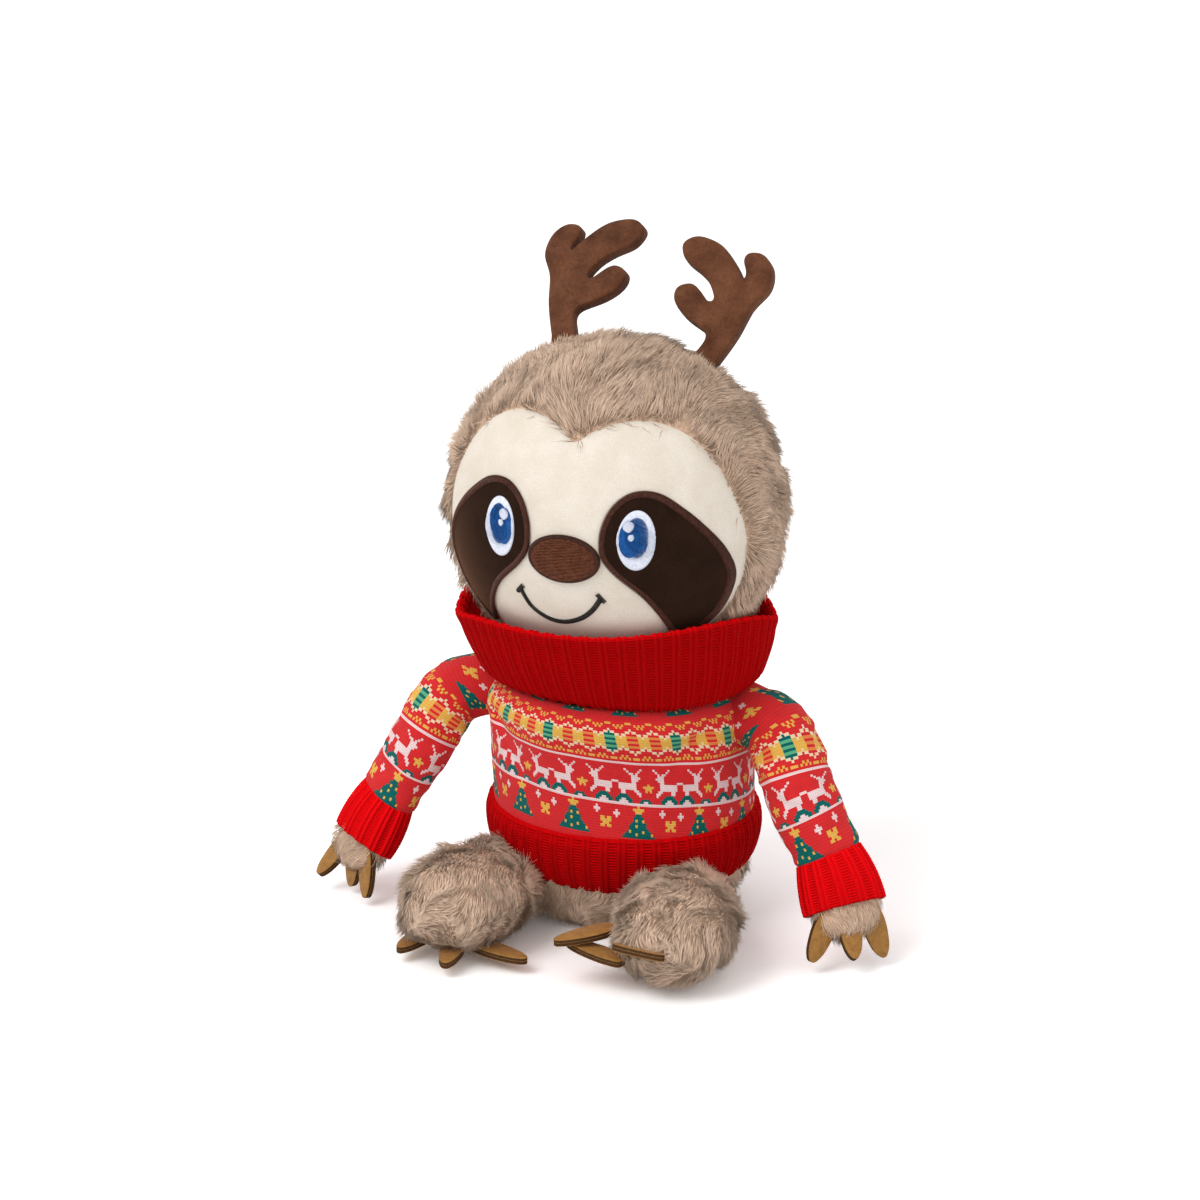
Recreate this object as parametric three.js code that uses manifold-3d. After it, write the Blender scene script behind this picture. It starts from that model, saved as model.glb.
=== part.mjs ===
// A seated plush sloth with felt antlers and a knitted winter jumper.
// Millimetres, +Z up. The toy looks along -Y; its own left is +X.
// The origin is the middle of the flat seat, on the surface that the toy sits on.

import * as THREE from 'three';
import { mergeVertices } from 'three/addons/utils/BufferGeometryUtils.js';
import Module from 'manifold-3d';

const wasm = await Module();
wasm.setup();

// Fits and cloths
const gap = 0.3;                 // between neighbouring cloths and fillings
const motionGap = 0.5;           // beside a part that moves
const cutOverrun = 4;            // how far a cutting shape passes a face
const faceClothThickness = 2;    // short-pile cloth of the face
const furThickness = 5;          // backing and half the standing pile of body and legs
const armFurThickness = 3;       // the same inside the sleeve, pressed down
const jerseyThickness = 2;       // printed jumper cloth
const ribThickness = 2.6;        // one layer of ribbed knit
const appliqueThickness = 1;     // eye patches
const embroideryThickness = 0.7; // eyes
const noseThickness = 1.6;
const mouthThickness = 1.1;
const seatFlatDepth = 0.5;       // how deep the stuffed forms are flattened where they rest

// Head, measured on its cloth
const headHalfWidth = 64;
const headHalfDepth = 58;
const headHalfHeight = 64;
const headForward = 9;           // head axis in front of the seat's middle
const furRise = 3;               // mid-pile above the cloth
const mouthHalfWidth = 1;

// Torso
const torsoHeight = 96;
const torsoHalfWidth = 50;
const torsoDepthShare = 0.88;
const seatHalfWidth = 30;
const seatRoundHeight = 40;
const shoulderRoundHeight = 12;
const neckRadius = 32;
const neckThickness = 4.4;       // soft neck between torso and head, at its middle
const pouchHalfWidth = 30;
const pouchHeight = 14;
const pouchLift = 3;             // filling under the pouch
const pouchTopRadius = 1.8;
const pouchNeckRadius = 4;       // way down to the pouch, through which the filling goes in

// Jumper
const hemBottomHeight = 22;
const hemTopHeight = 44;
const hemTopFlare = 2.4;         // the hem's puff over the printed cloth
const collarFoldDrop = 38;       // fold line below the head's centre
const collarBandHeight = 31.5;    // turned-down outer layer
const collarBottomHalfWidth = 55;
const collarBottomBack = 8;      // its bottom edge lies further back than its fold
const collarEase = 3.8;          // collar off the head, front and back
const collarDepthShare = 0.89;

// Arm, from the middle of its shoulder to the end of its hand
const shoulderHalfSpacing = 47;
const shoulderDrop = 9;          // its middle below the torso's top
const armReach = 58;
const armForward = 34;
const armDrop = 73;
const armFacing = 35;            // degrees outward that the flat side of the hand faces
const shoulderRadius = 12;
const elbowHalfWidth = 13.5;
const elbowHalfDepth = 11.5;
const wristHalfWidth = 13;
const wristHalfDepth = 9;
const cuffMouthHalfWidth = 16.5;
const cuffMouthHalfDepth = 9.5;
const armSwingForward = 70;      // degrees
const armSwingBack = 30;

// Leg, from the hip to the toe
const hipHalfSpacing = 36;
const hipForward = 22;
const legLength = 69;
const legSplay = 10;             // degrees that it points outward
const footHalfWidth = 24;
const footHalfHeight = 19.5;
const footHalfLength = 33;
const legRaise = 30;             // degrees
const legLower = 40;

// Claws: leaf shapes of two stitched layers
const footClawLength = 25;
const handClawLength = 21;
const clawHalfWidth = 4.6;
const clawTipRadius = 1.8;
const clawThickness = 3;
const clawSeatDepth = 6;         // hidden in the hand
const handClawInset = 5;         // from the hand's end up to the claws' bases
const handClawSpacing = 9.6;

// Antlers: one thick felt shape each
const antlerThickness = 5.6;
const antlerHeight = 45;         // the outline's shares are of this
const antlerStemRadius = 4.7;    // its square foot, within the pile
const antlerSeatDepth = 1.2;     // below the head's cloth
const antlerFlex = 12;           // degrees each way

// Facets
const headSegments = 28;
const headRings = 14;
const coreSegments = 16;
const coreRings = 8;
const torsoSegments = 24;
const limbSegments = 12;
const capSteps = 3;
const arcSteps = 5;
const ovalSteps = 16;
const curveSteps = 2;            // between two points of an outline
const sweepSteps = 4;

// Colours
const colours = {
  fur: 0xb39c8e,
  cream: 0xede4d8,
  filling: 0xf4f2ee,
  pellets: 0xd8d2c6,
  patch: 0x33211a,
  white: 0xe9e9f0,
  iris: 0x0f4590,
  nose: 0x5a3020,
  mouth: 0x26211e,
  felt: 0x6e4630,
  claw: 0x96682f,
  rib: 0xd00a10,
  print: 0xdb3c3a,
};
const clothRoughness = 0.9;
const clawRoughness = 0.6;

// The toy's own left and right; the mirror sign goes with +X
const sides = [
  { name: 'left', sign: 1 },
  { name: 'right', sign: -1 },
];

// Half outlines of the face, as shares of the head's half-width and half-height
const faceShares = [
  [0, 0.585], [0.09, 0.64], [0.19, 0.68], [0.32, 0.7], [0.46, 0.68], [0.6, 0.61], [0.72, 0.5], [0.81, 0.36],
  [0.88, 0.2], [0.92, 0.02], [0.915, -0.16], [0.88, -0.3], [0.8, -0.45], [0.66, -0.6], [0.48, -0.72],
  [0.25, -0.79], [0, -0.81],
];
const patchShares = [
  [0.217, 0.03], [0.225, 0.14], [0.27, 0.25], [0.345, 0.325], [0.43, 0.35], [0.53, 0.33], [0.63, 0.26],
  [0.74, 0.15], [0.84, 0], [0.885, -0.16], [0.865, -0.3], [0.79, -0.45], [0.66, -0.58], [0.58, -0.63],
  [0.545, -0.5], [0.51, -0.4], [0.44, -0.28], [0.3, -0.14], [0.235, -0.05],
];
const mouthShares = [
  [-0.3, -0.3], [-0.24, -0.41], [-0.14, -0.475], [-0.036, -0.487], [0.07, -0.45], [0.15, -0.385],
  [0.21, -0.3],
];
const eyeShares = { across: 0.421, up: 0.07, halfWidth: 0.104, halfHeight: 0.178 };
const irisShares = { across: 0.412, up: 0.098, halfWidth: 0.076, halfHeight: 0.12 };
const noseShares = { across: 0, up: -0.062, halfWidth: 0.22, halfHeight: 0.145 };
const faceBackShare = 0.12;      // how far in front of the head's middle the face's cuts begin

// Where the rows of the collar's inner layer lie, from its fold down to its seam
const collarShares = [0.16, 0.4, 0.68, 1];

// Outline of an antler as shares of its height, x towards the head's middle: up round the low tine, the
// long tine and the short one, and down the stem's outer side
const antlerShares = [
  [0.108, -0.05], [0.102, 0.05], [0.128, 0.115], [0.206, 0.137], [0.341, 0.148], [0.472, 0.178], [0.587, 0.245], [0.624, 0.35],
  [0.523, 0.439], [0.396, 0.409], [0.3, 0.372], [0.262, 0.415], [0.39, 0.513], [0.551, 0.56],
  [0.716, 0.588], [0.829, 0.701], [0.762, 0.815], [0.633, 0.854], [0.496, 0.856], [0.366, 0.814],
  [0.242, 0.753], [0.135, 0.69], [0.163, 0.76], [0.239, 0.826], [0.248, 0.908], [0.126, 0.963],
  [-0.008, 0.912], [-0.09, 0.796], [-0.109, 0.697], [-0.09, 0.598], [-0.078, 0.503], [-0.092, 0.393],
  [-0.108, 0.279], [-0.113, 0.12], [-0.108, -0.05],
];
const antlerPoses = {
  left: { acrossShare: 0.45, backShare: 0.3, riseShare: 0.12, twist: -5, lean: 37, roll: 22 },
  right: { acrossShare: 0.41, backShare: 0.27, riseShare: 0.21, twist: 10, lean: 37, roll: 24 },
};

// Middle line of an arm, as shares of its reach, forward reach and drop
const armShares = [
  [0, 0, 0], [0.33, 0.28, 0.04], [0.55, 0.57, 0.32], [0.78, 0.68, 0.645], [0.93, 0.86, 0.895], [1, 1, 1],
];
const elbowShare = 0.4;          // along the arm's middle line
const sleeveEndShare = 0.7;
const cuffEndShare = 0.89;
const sleeveShares = [0, 0.19, 0.36, 0.53, sleeveEndShare];
const cuffShares = [sleeveEndShare, cuffEndShare];
const handEndShares = [[0.95, 0.92], [0.985, 0.66], [1, 0.3]];

// Fullness of a leg along its length, as shares of the foot's half-width and half-height
const legShares = [
  [0, 0.45], [0.12, 0.65], [0.3, 0.86], [0.53, 1], [0.7, 0.95], [0.84, 0.77], [0.94, 0.5], [1, 0.14],
];
const slimShare = 0.5;           // a row slimmer than this takes less of a layer's thickness

// Half a claw, from root to where its round tip starts, as shares of its half-width and length
const clawShares = [[0.62, 0], [0.9, 0.16], [1, 0.36], [0.9, 0.6], [0.68, 0.82]];

// Directions of the claws in degrees: fan across the hand and dip towards its front
const handClawPoses = {
  left: [{ fan: -28, dip: 14 }, { fan: -5, dip: 43 }, { fan: 14, dip: 15 }],
  right: [{ fan: -12, dip: 10 }, { fan: 9, dip: 1 }, { fan: 5, dip: 46 }],
};

// Roots as shares of the foot's half sizes (outward, forward, up), then degrees outward, up and rolled
const footClawPoses = {
  left: [
    { rootShares: [-0.85, 0.35, 0.08], heading: -47, pitch: -4, roll: 0 },
    { rootShares: [-0.5, 0.79, -0.3], heading: -100, pitch: 7, roll: 0 },
    { rootShares: [-0.62, 0.74, -0.02], heading: 64, pitch: 7, roll: -18 },
  ],
  right: [
    { rootShares: [0.55, 0.29, -0.67], heading: 11, pitch: 0, roll: 0 },
    { rootShares: [0.01, 0.45, -0.67], heading: -11, pitch: 0, roll: 0 },
    { rootShares: [-0.36, 0.46, -0.67], heading: -72, pitch: 0, roll: 0 },
  ],
};

// Derived places
const radians = THREE.MathUtils.degToRad;
const xAxis = new THREE.Vector3(1, 0, 0);
const yAxis = new THREE.Vector3(0, 1, 0);
const zAxis = new THREE.Vector3(0, 0, 1);
const ballHalfWidth = headHalfWidth + furRise;
const ballHalfDepth = headHalfDepth + furRise;
const ballHalfHeight = headHalfHeight + furRise;
const ballReach = Math.max(ballHalfWidth, ballHalfDepth, ballHalfHeight);
const socketRadius = ballReach + motionGap;
const headCentre = new THREE.Vector3(0, -headForward, torsoHeight + motionGap + neckThickness + ballReach);
const foldHeight = headCentre.z - collarFoldDrop;
const shoulderHeight = torsoHeight - shoulderDrop;
const jerseyReach = gap + jerseyThickness;
const pouchBottom = furThickness + gap - seatFlatDepth + pouchLift;

const object = new THREE.Group();

// Solids and meshes

function solidOf(geometry) {
  const bare = geometry.clone();
  bare.deleteAttribute('normal');
  bare.deleteAttribute('uv');
  const merged = mergeVertices(bare);
  const mesh = new wasm.Mesh({
    numProp: 3,
    vertProperties: new Float32Array(merged.attributes.position.array),
    triVerts: new Uint32Array(merged.index.array),
  });
  return new wasm.Manifold(mesh);
}

function geometryOf(solid) {
  const mesh = solid.getMesh();
  const geometry = new THREE.BufferGeometry();
  geometry.setAttribute('position', new THREE.BufferAttribute(Float32Array.from(mesh.vertProperties), 3));
  geometry.setIndex(new THREE.BufferAttribute(Uint32Array.from(mesh.triVerts), 1));
  geometry.computeVertexNormals();
  return geometry;
}

function addPart(name, solid, colour, roughness = clothRoughness) {
  const material = new THREE.MeshStandardMaterial({ color: colour, roughness, metalness: 0 });
  const mesh = new THREE.Mesh(geometryOf(solid), material);
  mesh.name = name;
  object.add(mesh);
}

function largestPiece(solid) {
  return solid.decompose().reduce((best, piece) => (piece.volume() > best.volume() ? piece : best));
}

// A solid turned by degrees about a line through a point
function turnedAbout(solid, point, axis, degrees) {
  const matrix = new THREE.Matrix4().makeTranslation(point.x, point.y, point.z);
  matrix.multiply(new THREE.Matrix4().makeRotationAxis(axis, radians(degrees)));
  matrix.multiply(new THREE.Matrix4().makeTranslation(-point.x, -point.y, -point.z));
  return solid.transform(matrix.elements);
}

// All the space that a fixed neighbour takes, seen from a part that turns between two angles
function sweptPast(neighbour, point, axis, from, to) {
  let swept = neighbour;
  for (let i = 0; i <= sweepSteps; i += 1) {
    const angle = from + ((to - from) * i) / sweepSteps;
    swept = swept.add(turnedAbout(neighbour, point, axis, -angle));
  }
  return swept;
}

// Rings of points joined into a surface; a closed row of rings makes a hoop, an open one gets end faces
function loft(rings, closedRow) {
  const segments = rings[0].length;
  const faces = [];
  const bands = closedRow ? rings.length : rings.length - 1;
  for (let ring = 0; ring < bands; ring += 1) {
    const start = ring * segments;
    const above = ((ring + 1) % rings.length) * segments;
    for (let i = 0; i < segments; i += 1) {
      const next = (i + 1) % segments;
      faces.push(start + i, start + next, above + next);
      faces.push(start + i, above + next, above + i);
    }
  }
  if (!closedRow) {
    const last = (rings.length - 1) * segments;
    for (let i = 1; i < segments - 1; i += 1) {
      faces.push(0, i + 1, i);
      faces.push(last, last + i, last + i + 1);
    }
  }
  const geometry = new THREE.BufferGeometry().setFromPoints(rings.flat());
  geometry.setIndex(faces);
  return solidOf(geometry);
}

function ellipseRing({ centre, across, through, halfWidth, halfDepth }, segments) {
  const ring = [];
  for (let i = 0; i < segments; i += 1) {
    const angle = (2 * Math.PI * i) / segments;
    const point = centre.clone().addScaledVector(across, halfWidth * Math.cos(angle));
    ring.push(point.addScaledVector(through, halfDepth * Math.sin(angle)));
  }
  return ring;
}

// Level rings about the upright axis: rows of height, half-width, half-depth and shift along Y
function levelRings(rows, segments) {
  return rows.map(([height, halfWidth, halfDepth, shift]) => {
    const centre = new THREE.Vector3(0, shift, height);
    return ellipseRing({ centre, across: xAxis, through: yAxis, halfWidth, halfDepth }, segments);
  });
}

function uprightForm(rows, segments = torsoSegments) {
  return loft(levelRings(rows, segments), false);
}

function hoop(rows) {
  return loft(levelRings(rows, torsoSegments), true);
}

function slab(outline, thickness) {
  const shape = new THREE.Shape(outline);
  const plate = new THREE.ExtrudeGeometry(shape, { depth: thickness, bevelEnabled: false });
  plate.translate(0, 0, -thickness / 2);
  return solidOf(plate);
}

// Stands a flat shape in place: its own x runs across and its y along
function placed(solid, origin, across, along) {
  const facing = new THREE.Vector3().crossVectors(across, along);
  const matrix = new THREE.Matrix4().makeBasis(across, along, facing).setPosition(origin);
  return solid.transform(matrix.elements);
}

function levelSlab(bottom, top) {
  const width = 2 * (torsoHalfWidth + shoulderHalfSpacing + armReach + legLength);
  const box = new THREE.BoxGeometry(width, width, top - bottom);
  box.translate(0, 0, (bottom + top) / 2);
  return solidOf(box);
}

const underfloor = levelSlab(-torsoHeight, 0);

// Outlines

function arcAbout(centre, radius, from, steps = arcSteps) {
  const arc = [];
  for (let i = 1; i < steps; i += 1) {
    const angle = from + (Math.PI * i) / steps;
    arc.push(new THREE.Vector2(centre.x + radius * Math.cos(angle), centre.y + radius * Math.sin(angle)));
  }
  return arc;
}

// A ribbon of one radius along a smooth line, with round ends
function ribbonOutline(points, radius) {
  const line = new THREE.SplineCurve(points).getPoints((points.length - 1) * curveSteps);
  const left = [];
  const right = [];
  line.forEach((point, i) => {
    const before = line[Math.max(i - 1, 0)];
    const after = line[Math.min(i + 1, line.length - 1)];
    const along = after.clone().sub(before).normalize();
    const side = new THREE.Vector2(-along.y, along.x).multiplyScalar(radius);
    left.push(point.clone().add(side));
    right.push(point.clone().sub(side));
  });
  const last = line.length - 1;
  const endBearing = line[last].clone().sub(line[last - 1]).angle();
  const startBearing = line[0].clone().sub(line[1]).angle();
  const endArc = arcAbout(line[last], radius, endBearing - Math.PI / 2);
  const startArc = arcAbout(line[0], radius, startBearing - Math.PI / 2);
  return [...right, ...endArc, ...left.reverse(), ...startArc];
}

function toFace([across, up]) {
  return new THREE.Vector2(across * headHalfWidth, up * headHalfHeight);
}

// A smooth outline through points, pushed out from the face's middle by an allowance
function faceOutline(shares, allowance = 0) {
  const curve = new THREE.SplineCurve(shares.map(toFace));
  const points = curve.getPoints((shares.length - 1) * curveSteps);
  return points.map((point) => point.setLength(point.length() + allowance));
}

function mirroredOutline(halfShares, allowance) {
  const right = faceOutline(halfShares, allowance);
  const left = right.slice(1, -1).map((point) => new THREE.Vector2(-point.x, point.y));
  return [...right, ...left.reverse()];
}

function ovalOutline(shares, sign) {
  const centre = toFace([shares.across * sign, shares.up]);
  const half = toFace([shares.halfWidth, shares.halfHeight]);
  const outline = [];
  for (let i = 0; i < ovalSteps; i += 1) {
    const angle = (2 * Math.PI * i) / ovalSteps;
    const offset = new THREE.Vector2(half.x * Math.cos(angle), half.y * Math.sin(angle));
    outline.push(offset.add(centre));
  }
  return outline;
}

// Torso, a stuffed form grown or shrunk by an offset

function smoothShare(share) {
  return share * share * (3 - 2 * share);
}

// A row at an angle of a quarter oval of a width and a height, moved out square to the oval
function quarterRow(angle, start, width, height, offset) {
  const steepness = Math.hypot(height * Math.sin(angle), width * Math.cos(angle));
  return {
    halfWidth: start + width * Math.sin(angle) + (offset * height * Math.sin(angle)) / steepness,
    height: -height * Math.cos(angle) - (offset * width * Math.cos(angle)) / steepness,
  };
}

// The torso leans forward and gets rounder from its middle to its neck
function torsoRow(height, halfWidth) {
  const share = THREE.MathUtils.clamp((height - seatRoundHeight) / (torsoHeight - seatRoundHeight), 0, 1);
  const lean = share ** 3;
  const depthShare = THREE.MathUtils.lerp(torsoDepthShare, 1, lean);
  return [height, halfWidth, halfWidth * depthShare, -headForward * lean];
}

function torsoRows(offset) {
  const rows = [];
  for (let i = 0; i <= capSteps; i += 1) {
    const angle = (Math.PI / 2) * (i / capSteps);
    const row = quarterRow(angle, seatHalfWidth, torsoHalfWidth - seatHalfWidth, seatRoundHeight, offset);
    rows.push(torsoRow(row.height + seatRoundHeight - seatFlatDepth, row.halfWidth));
  }
  const neckEdge = neckRadius + furThickness;
  const shoulderBase = torsoHeight - shoulderRoundHeight;
  rows.push(torsoRow((shoulderBase + seatRoundHeight) / 2, torsoHalfWidth + offset));
  for (let i = 0; i <= capSteps; i += 1) {
    const angle = (Math.PI / 2) * (1 - i / capSteps);
    const row = quarterRow(angle, neckEdge, torsoHalfWidth - neckEdge, shoulderRoundHeight, offset);
    rows.push(torsoRow(shoulderBase - row.height, row.halfWidth));
  }
  return rows;
}

function torsoForm(offset, segments) {
  return uprightForm(torsoRows(offset), segments);
}

function neckColumn(radius, bottom, top) {
  return uprightForm([[bottom, radius, radius, -headForward], [top, radius, radius, -headForward]]);
}

const neckOpening = neckColumn(neckRadius + gap, torsoHeight - furThickness - gap, torsoHeight + cutOverrun);

// Flat-bottomed bag of pellets in the seat
function pouchForm(allowance) {
  const rows = [];
  for (let i = 0; i <= capSteps; i += 1) {
    const angle = (Math.PI / 2) * (1 - i / capSteps);
    const row = quarterRow(angle, 0, pouchHalfWidth, pouchHeight, allowance);
    const halfWidth = Math.max(row.halfWidth, pouchTopRadius);
    rows.push([pouchBottom - row.height, halfWidth, halfWidth * torsoDepthShare, 0]);
  }
  const [, halfWidth, halfDepth, shift] = rows[0];
  return uprightForm([[pouchBottom - allowance, halfWidth, halfDepth, shift], ...rows], coreSegments);
}

// The filling is put in round the pouch, so a narrow way stays open down to it
function addTorso() {
  const shell = torsoForm(0).subtract(torsoForm(-furThickness, coreSegments));
  const filling = torsoForm(-furThickness - gap, coreSegments).subtract(pouchForm(gap));
  const open = filling.subtract(neckColumn(pouchNeckRadius, pouchBottom + pouchHeight / 2, torsoHeight));
  addPart('body_fur_shell', shell.subtract(neckOpening).subtract(underfloor), colours.fur);
  addPart('body_stuffing', open, colours.filling);
  addPart('seat_pellet_pouch', pouchForm(0), colours.pellets);
}

function addNeck() {
  const rim = headCentre.z - Math.sqrt(socketRadius ** 2 - neckRadius ** 2) - gap;
  const socket = new THREE.SphereGeometry(socketRadius, headSegments, headRings);
  socket.rotateX(Math.PI / 2);
  socket.translate(headCentre.x, headCentre.y, headCentre.z);
  const column = neckColumn(neckRadius, torsoHeight - furThickness, rim);
  addPart('neck_stuffing', column.subtract(solidOf(socket)), colours.filling);
}

// Jumper

function addJersey() {
  const below = levelSlab(-torsoHeight, hemTopHeight + gap);
  const cloth = torsoForm(jerseyReach).subtract(torsoForm(gap)).subtract(neckOpening).subtract(below);
  addPart('sweater_body', cloth, colours.print);
}

// Half-width of the torso's fur at a height within the rounding of its seat
function seatWidthAt(height) {
  const drop = Math.max(1 - (height + seatFlatDepth) / seatRoundHeight, 0);
  return seatHalfWidth + (torsoHalfWidth - seatHalfWidth) * Math.sqrt(1 - drop * drop);
}

function hemRows(offset, flare) {
  const rows = [];
  for (let i = 0; i <= capSteps; i += 1) {
    const share = i / capSteps;
    const height = THREE.MathUtils.lerp(hemBottomHeight, hemTopHeight, share);
    const halfWidth = seatWidthAt(height) + offset + flare * share;
    rows.push([height, halfWidth, halfWidth * torsoDepthShare + flare * share * (1 - torsoDepthShare), 0]);
  }
  return rows;
}

function addHem() {
  const inside = hemRows(motionGap, 0).reverse();
  addPart('sweater_hem', hoop([...hemRows(motionGap + ribThickness, hemTopFlare), ...inside]), colours.rib);
}

// The collar's inner layer follows the head, then the neck
function collarInside(height, offset) {
  const drop = Math.min((headCentre.z - height) / ballHalfHeight, 1);
  const loose = ballHalfDepth * Math.sqrt(1 - drop * drop) + collarEase;
  const least = neckRadius + gap + motionGap;
  const halfWidth = Math.max(loose / collarDepthShare, least) + offset;
  return [height, halfWidth, Math.max(loose, least) + offset, -headForward];
}

// Outside of the turned-down layer, from its bottom edge to the fold
function collarOutside(offset) {
  const [, topHalfWidth, topHalfDepth] = collarInside(foldHeight, ribThickness + offset);
  const bottomHalfWidth = collarBottomHalfWidth + offset;
  const rows = [];
  for (let i = 0; i <= capSteps; i += 1) {
    const share = i / capSteps;
    const bulge = Math.sin((Math.PI / 2) * share);
    rows.push([
      foldHeight - collarBandHeight * (1 - share),
      THREE.MathUtils.lerp(bottomHalfWidth, topHalfWidth, bulge),
      THREE.MathUtils.lerp(bottomHalfWidth * torsoDepthShare, topHalfDepth, bulge),
      collarBottomBack * (1 - share) - headForward,
    ]);
  }
  return rows;
}

function addCollar() {
  const seam = torsoHeight + jerseyReach + gap;
  const heights = collarShares.map((share) => THREE.MathUtils.lerp(foldHeight, seam, share));
  const fold = collarInside(foldHeight, ribThickness / 2);
  fold[0] += ribThickness / 2;
  const rows = [
    ...collarOutside(0),
    fold,
    collarInside(foldHeight, 0),
    ...heights.map((height) => collarInside(height, 0)),
    ...heights.map((height) => collarInside(height, ribThickness)).reverse(),
    ...collarOutside(-ribThickness).slice(0, -1).reverse(),
  ];
  addPart('sweater_collar', hoop(rows), colours.rib);
}

// A form with few facets that lies wholly outside its rows' ovals
function outerForm(rows) {
  const growth = 1 / Math.cos(Math.PI / coreSegments);
  const grown = rows.map(([height, width, depth, shift]) => [height, width * growth, depth * growth, shift]);
  return uprightForm(grown, coreSegments);
}

// Everything of the clothed torso that a limb could meet, with room to move
function torsoEnvelope() {
  const clothed = outerForm(torsoRows(jerseyReach + motionGap));
  const above = clothed.subtract(levelSlab(-torsoHeight, hemTopHeight));
  const hem = hemRows(2 * motionGap + ribThickness, hemTopFlare);
  hem[0][0] -= motionGap;
  hem[hem.length - 1][0] += motionGap;
  const collar = collarOutside(motionGap);
  collar[0][0] -= motionGap;
  return outerForm(torsoRows(motionGap)).add(above).add(outerForm(hem)).add(outerForm(collar));
}

const envelope = torsoEnvelope();

// Head

function headOval(offset, segments = headSegments, rings = headRings) {
  const oval = new THREE.SphereGeometry(1, segments, rings);
  oval.rotateX(Math.PI / 2);
  oval.scale(headHalfWidth + offset, headHalfDepth + offset, headHalfHeight + offset);
  oval.translate(headCentre.x, headCentre.y, headCentre.z);
  return solidOf(oval);
}

const headCore = headOval(-faceClothThickness, coreSegments, coreRings);

// A prism through the front of the head
function facePrism(outline) {
  const start = headHalfDepth * faceBackShare;
  const depth = ballHalfDepth + cutOverrun - start;
  const prism = new THREE.ExtrudeGeometry(new THREE.Shape(outline), { depth, bevelEnabled: false });
  prism.rotateX(Math.PI / 2);
  prism.translate(headCentre.x, headCentre.y - start, headCentre.z);
  return solidOf(prism);
}

// Cloth or thread of a thickness that lies over the face, starting a little off its surface
function faceLayer(start, thickness, outline) {
  return headOval(start + thickness).subtract(headOval(start)).intersect(facePrism(outline));
}

function addHead() {
  const fur = headOval(furRise).subtract(headCore).subtract(facePrism(mirroredOutline(faceShares, gap)));
  const filling = headOval(-faceClothThickness - gap, coreSegments, coreRings);
  const rooms = sides.map(antlerRoom);
  const slotted = rooms.reduce((shell, room) => shell.subtract(room), fur);
  const core = rooms.reduce((solid, room) => solid.subtract(room), filling);
  const face = headOval(0).subtract(headCore).intersect(facePrism(mirroredOutline(faceShares, 0)));
  addPart('head_fur_shell', largestPiece(slotted), colours.fur);
  addPart('head_stuffing', core, colours.filling);
  addPart('face_panel', face, colours.cream);
  addPart('nose_embroidery', faceLayer(gap, noseThickness, ovalOutline(noseShares, 1)), colours.nose);
  const mouth = ribbonOutline(mouthShares.map(toFace), mouthHalfWidth);
  addPart('mouth_embroidery', faceLayer(gap, mouthThickness, mouth), colours.mouth);
}

function addEye({ name, sign }) {
  const patch = faceOutline(patchShares).map((point) => new THREE.Vector2(point.x * sign, point.y));
  const whiteStart = 2 * gap + appliqueThickness;
  const irisStart = whiteStart + embroideryThickness + gap;
  const white = faceLayer(whiteStart, embroideryThickness, ovalOutline(eyeShares, sign));
  const iris = faceLayer(irisStart, embroideryThickness, ovalOutline(irisShares, sign));
  addPart(`eye_patch_${name}`, faceLayer(gap, appliqueThickness, patch), colours.patch);
  addPart(`eye_white_${name}`, white, colours.white);
  addPart(`iris_${name}`, iris, colours.iris);
}

// Antlers

// The square foot of an antler, from the pile's tips down into the head
function antlerFoot(depth, allowance) {
  const width = 2 * (antlerStemRadius + allowance);
  const foot = new THREE.BoxGeometry(width, depth + allowance, antlerThickness + 2 * allowance);
  foot.translate(0, -(depth + allowance) / 2, 0);
  return solidOf(foot);
}

// The flat felt shape above the foot
function antlerPlate() {
  const points = antlerShares.map(([x, y]) => new THREE.Vector2(x * antlerHeight, y * antlerHeight));
  const curve = new THREE.SplineCurve(points);
  return slab(curve.getPoints((points.length - 1) * curveSteps), antlerThickness);
}

// Where an antler's stem meets the head's cloth, and which way the flat shape lies
function antlerFrame({ name, sign }) {
  const pose = antlerPoses[name];
  const upShare = Math.sqrt(1 - pose.acrossShare ** 2 - pose.backShare ** 2);
  const seat = new THREE.Vector3(
    sign * pose.acrossShare * headHalfWidth,
    pose.backShare * headHalfDepth,
    upShare * headHalfHeight,
  ).add(headCentre);
  const twist = radians(pose.twist);
  const roll = radians(pose.roll);
  const lean = radians(pose.lean);
  const facing = new THREE.Vector3(sign * Math.sin(twist), -Math.cos(twist), 0);
  facing.multiplyScalar(Math.cos(lean)).addScaledVector(zAxis, Math.sin(lean));
  const inward = new THREE.Vector3(-sign * Math.cos(twist), -Math.sin(twist), 0);
  const upward = new THREE.Vector3().crossVectors(facing, inward).multiplyScalar(-sign);
  const across = inward.clone().multiplyScalar(Math.cos(roll)).addScaledVector(upward, Math.sin(roll));
  const along = upward.clone().multiplyScalar(Math.cos(roll)).addScaledVector(inward, -Math.sin(roll));
  return { seat, across, along, rise: pose.riseShare * antlerHeight };
}

function addAntler(side) {
  const { seat, across, along, rise } = antlerFrame(side);
  const origin = seat.clone().addScaledVector(along, rise);
  const solid = antlerPlate().add(antlerFoot(rise + antlerSeatDepth, 0));
  addPart(`antler_${side.name}`, placed(solid, origin, across, along), colours.felt);
}

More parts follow.
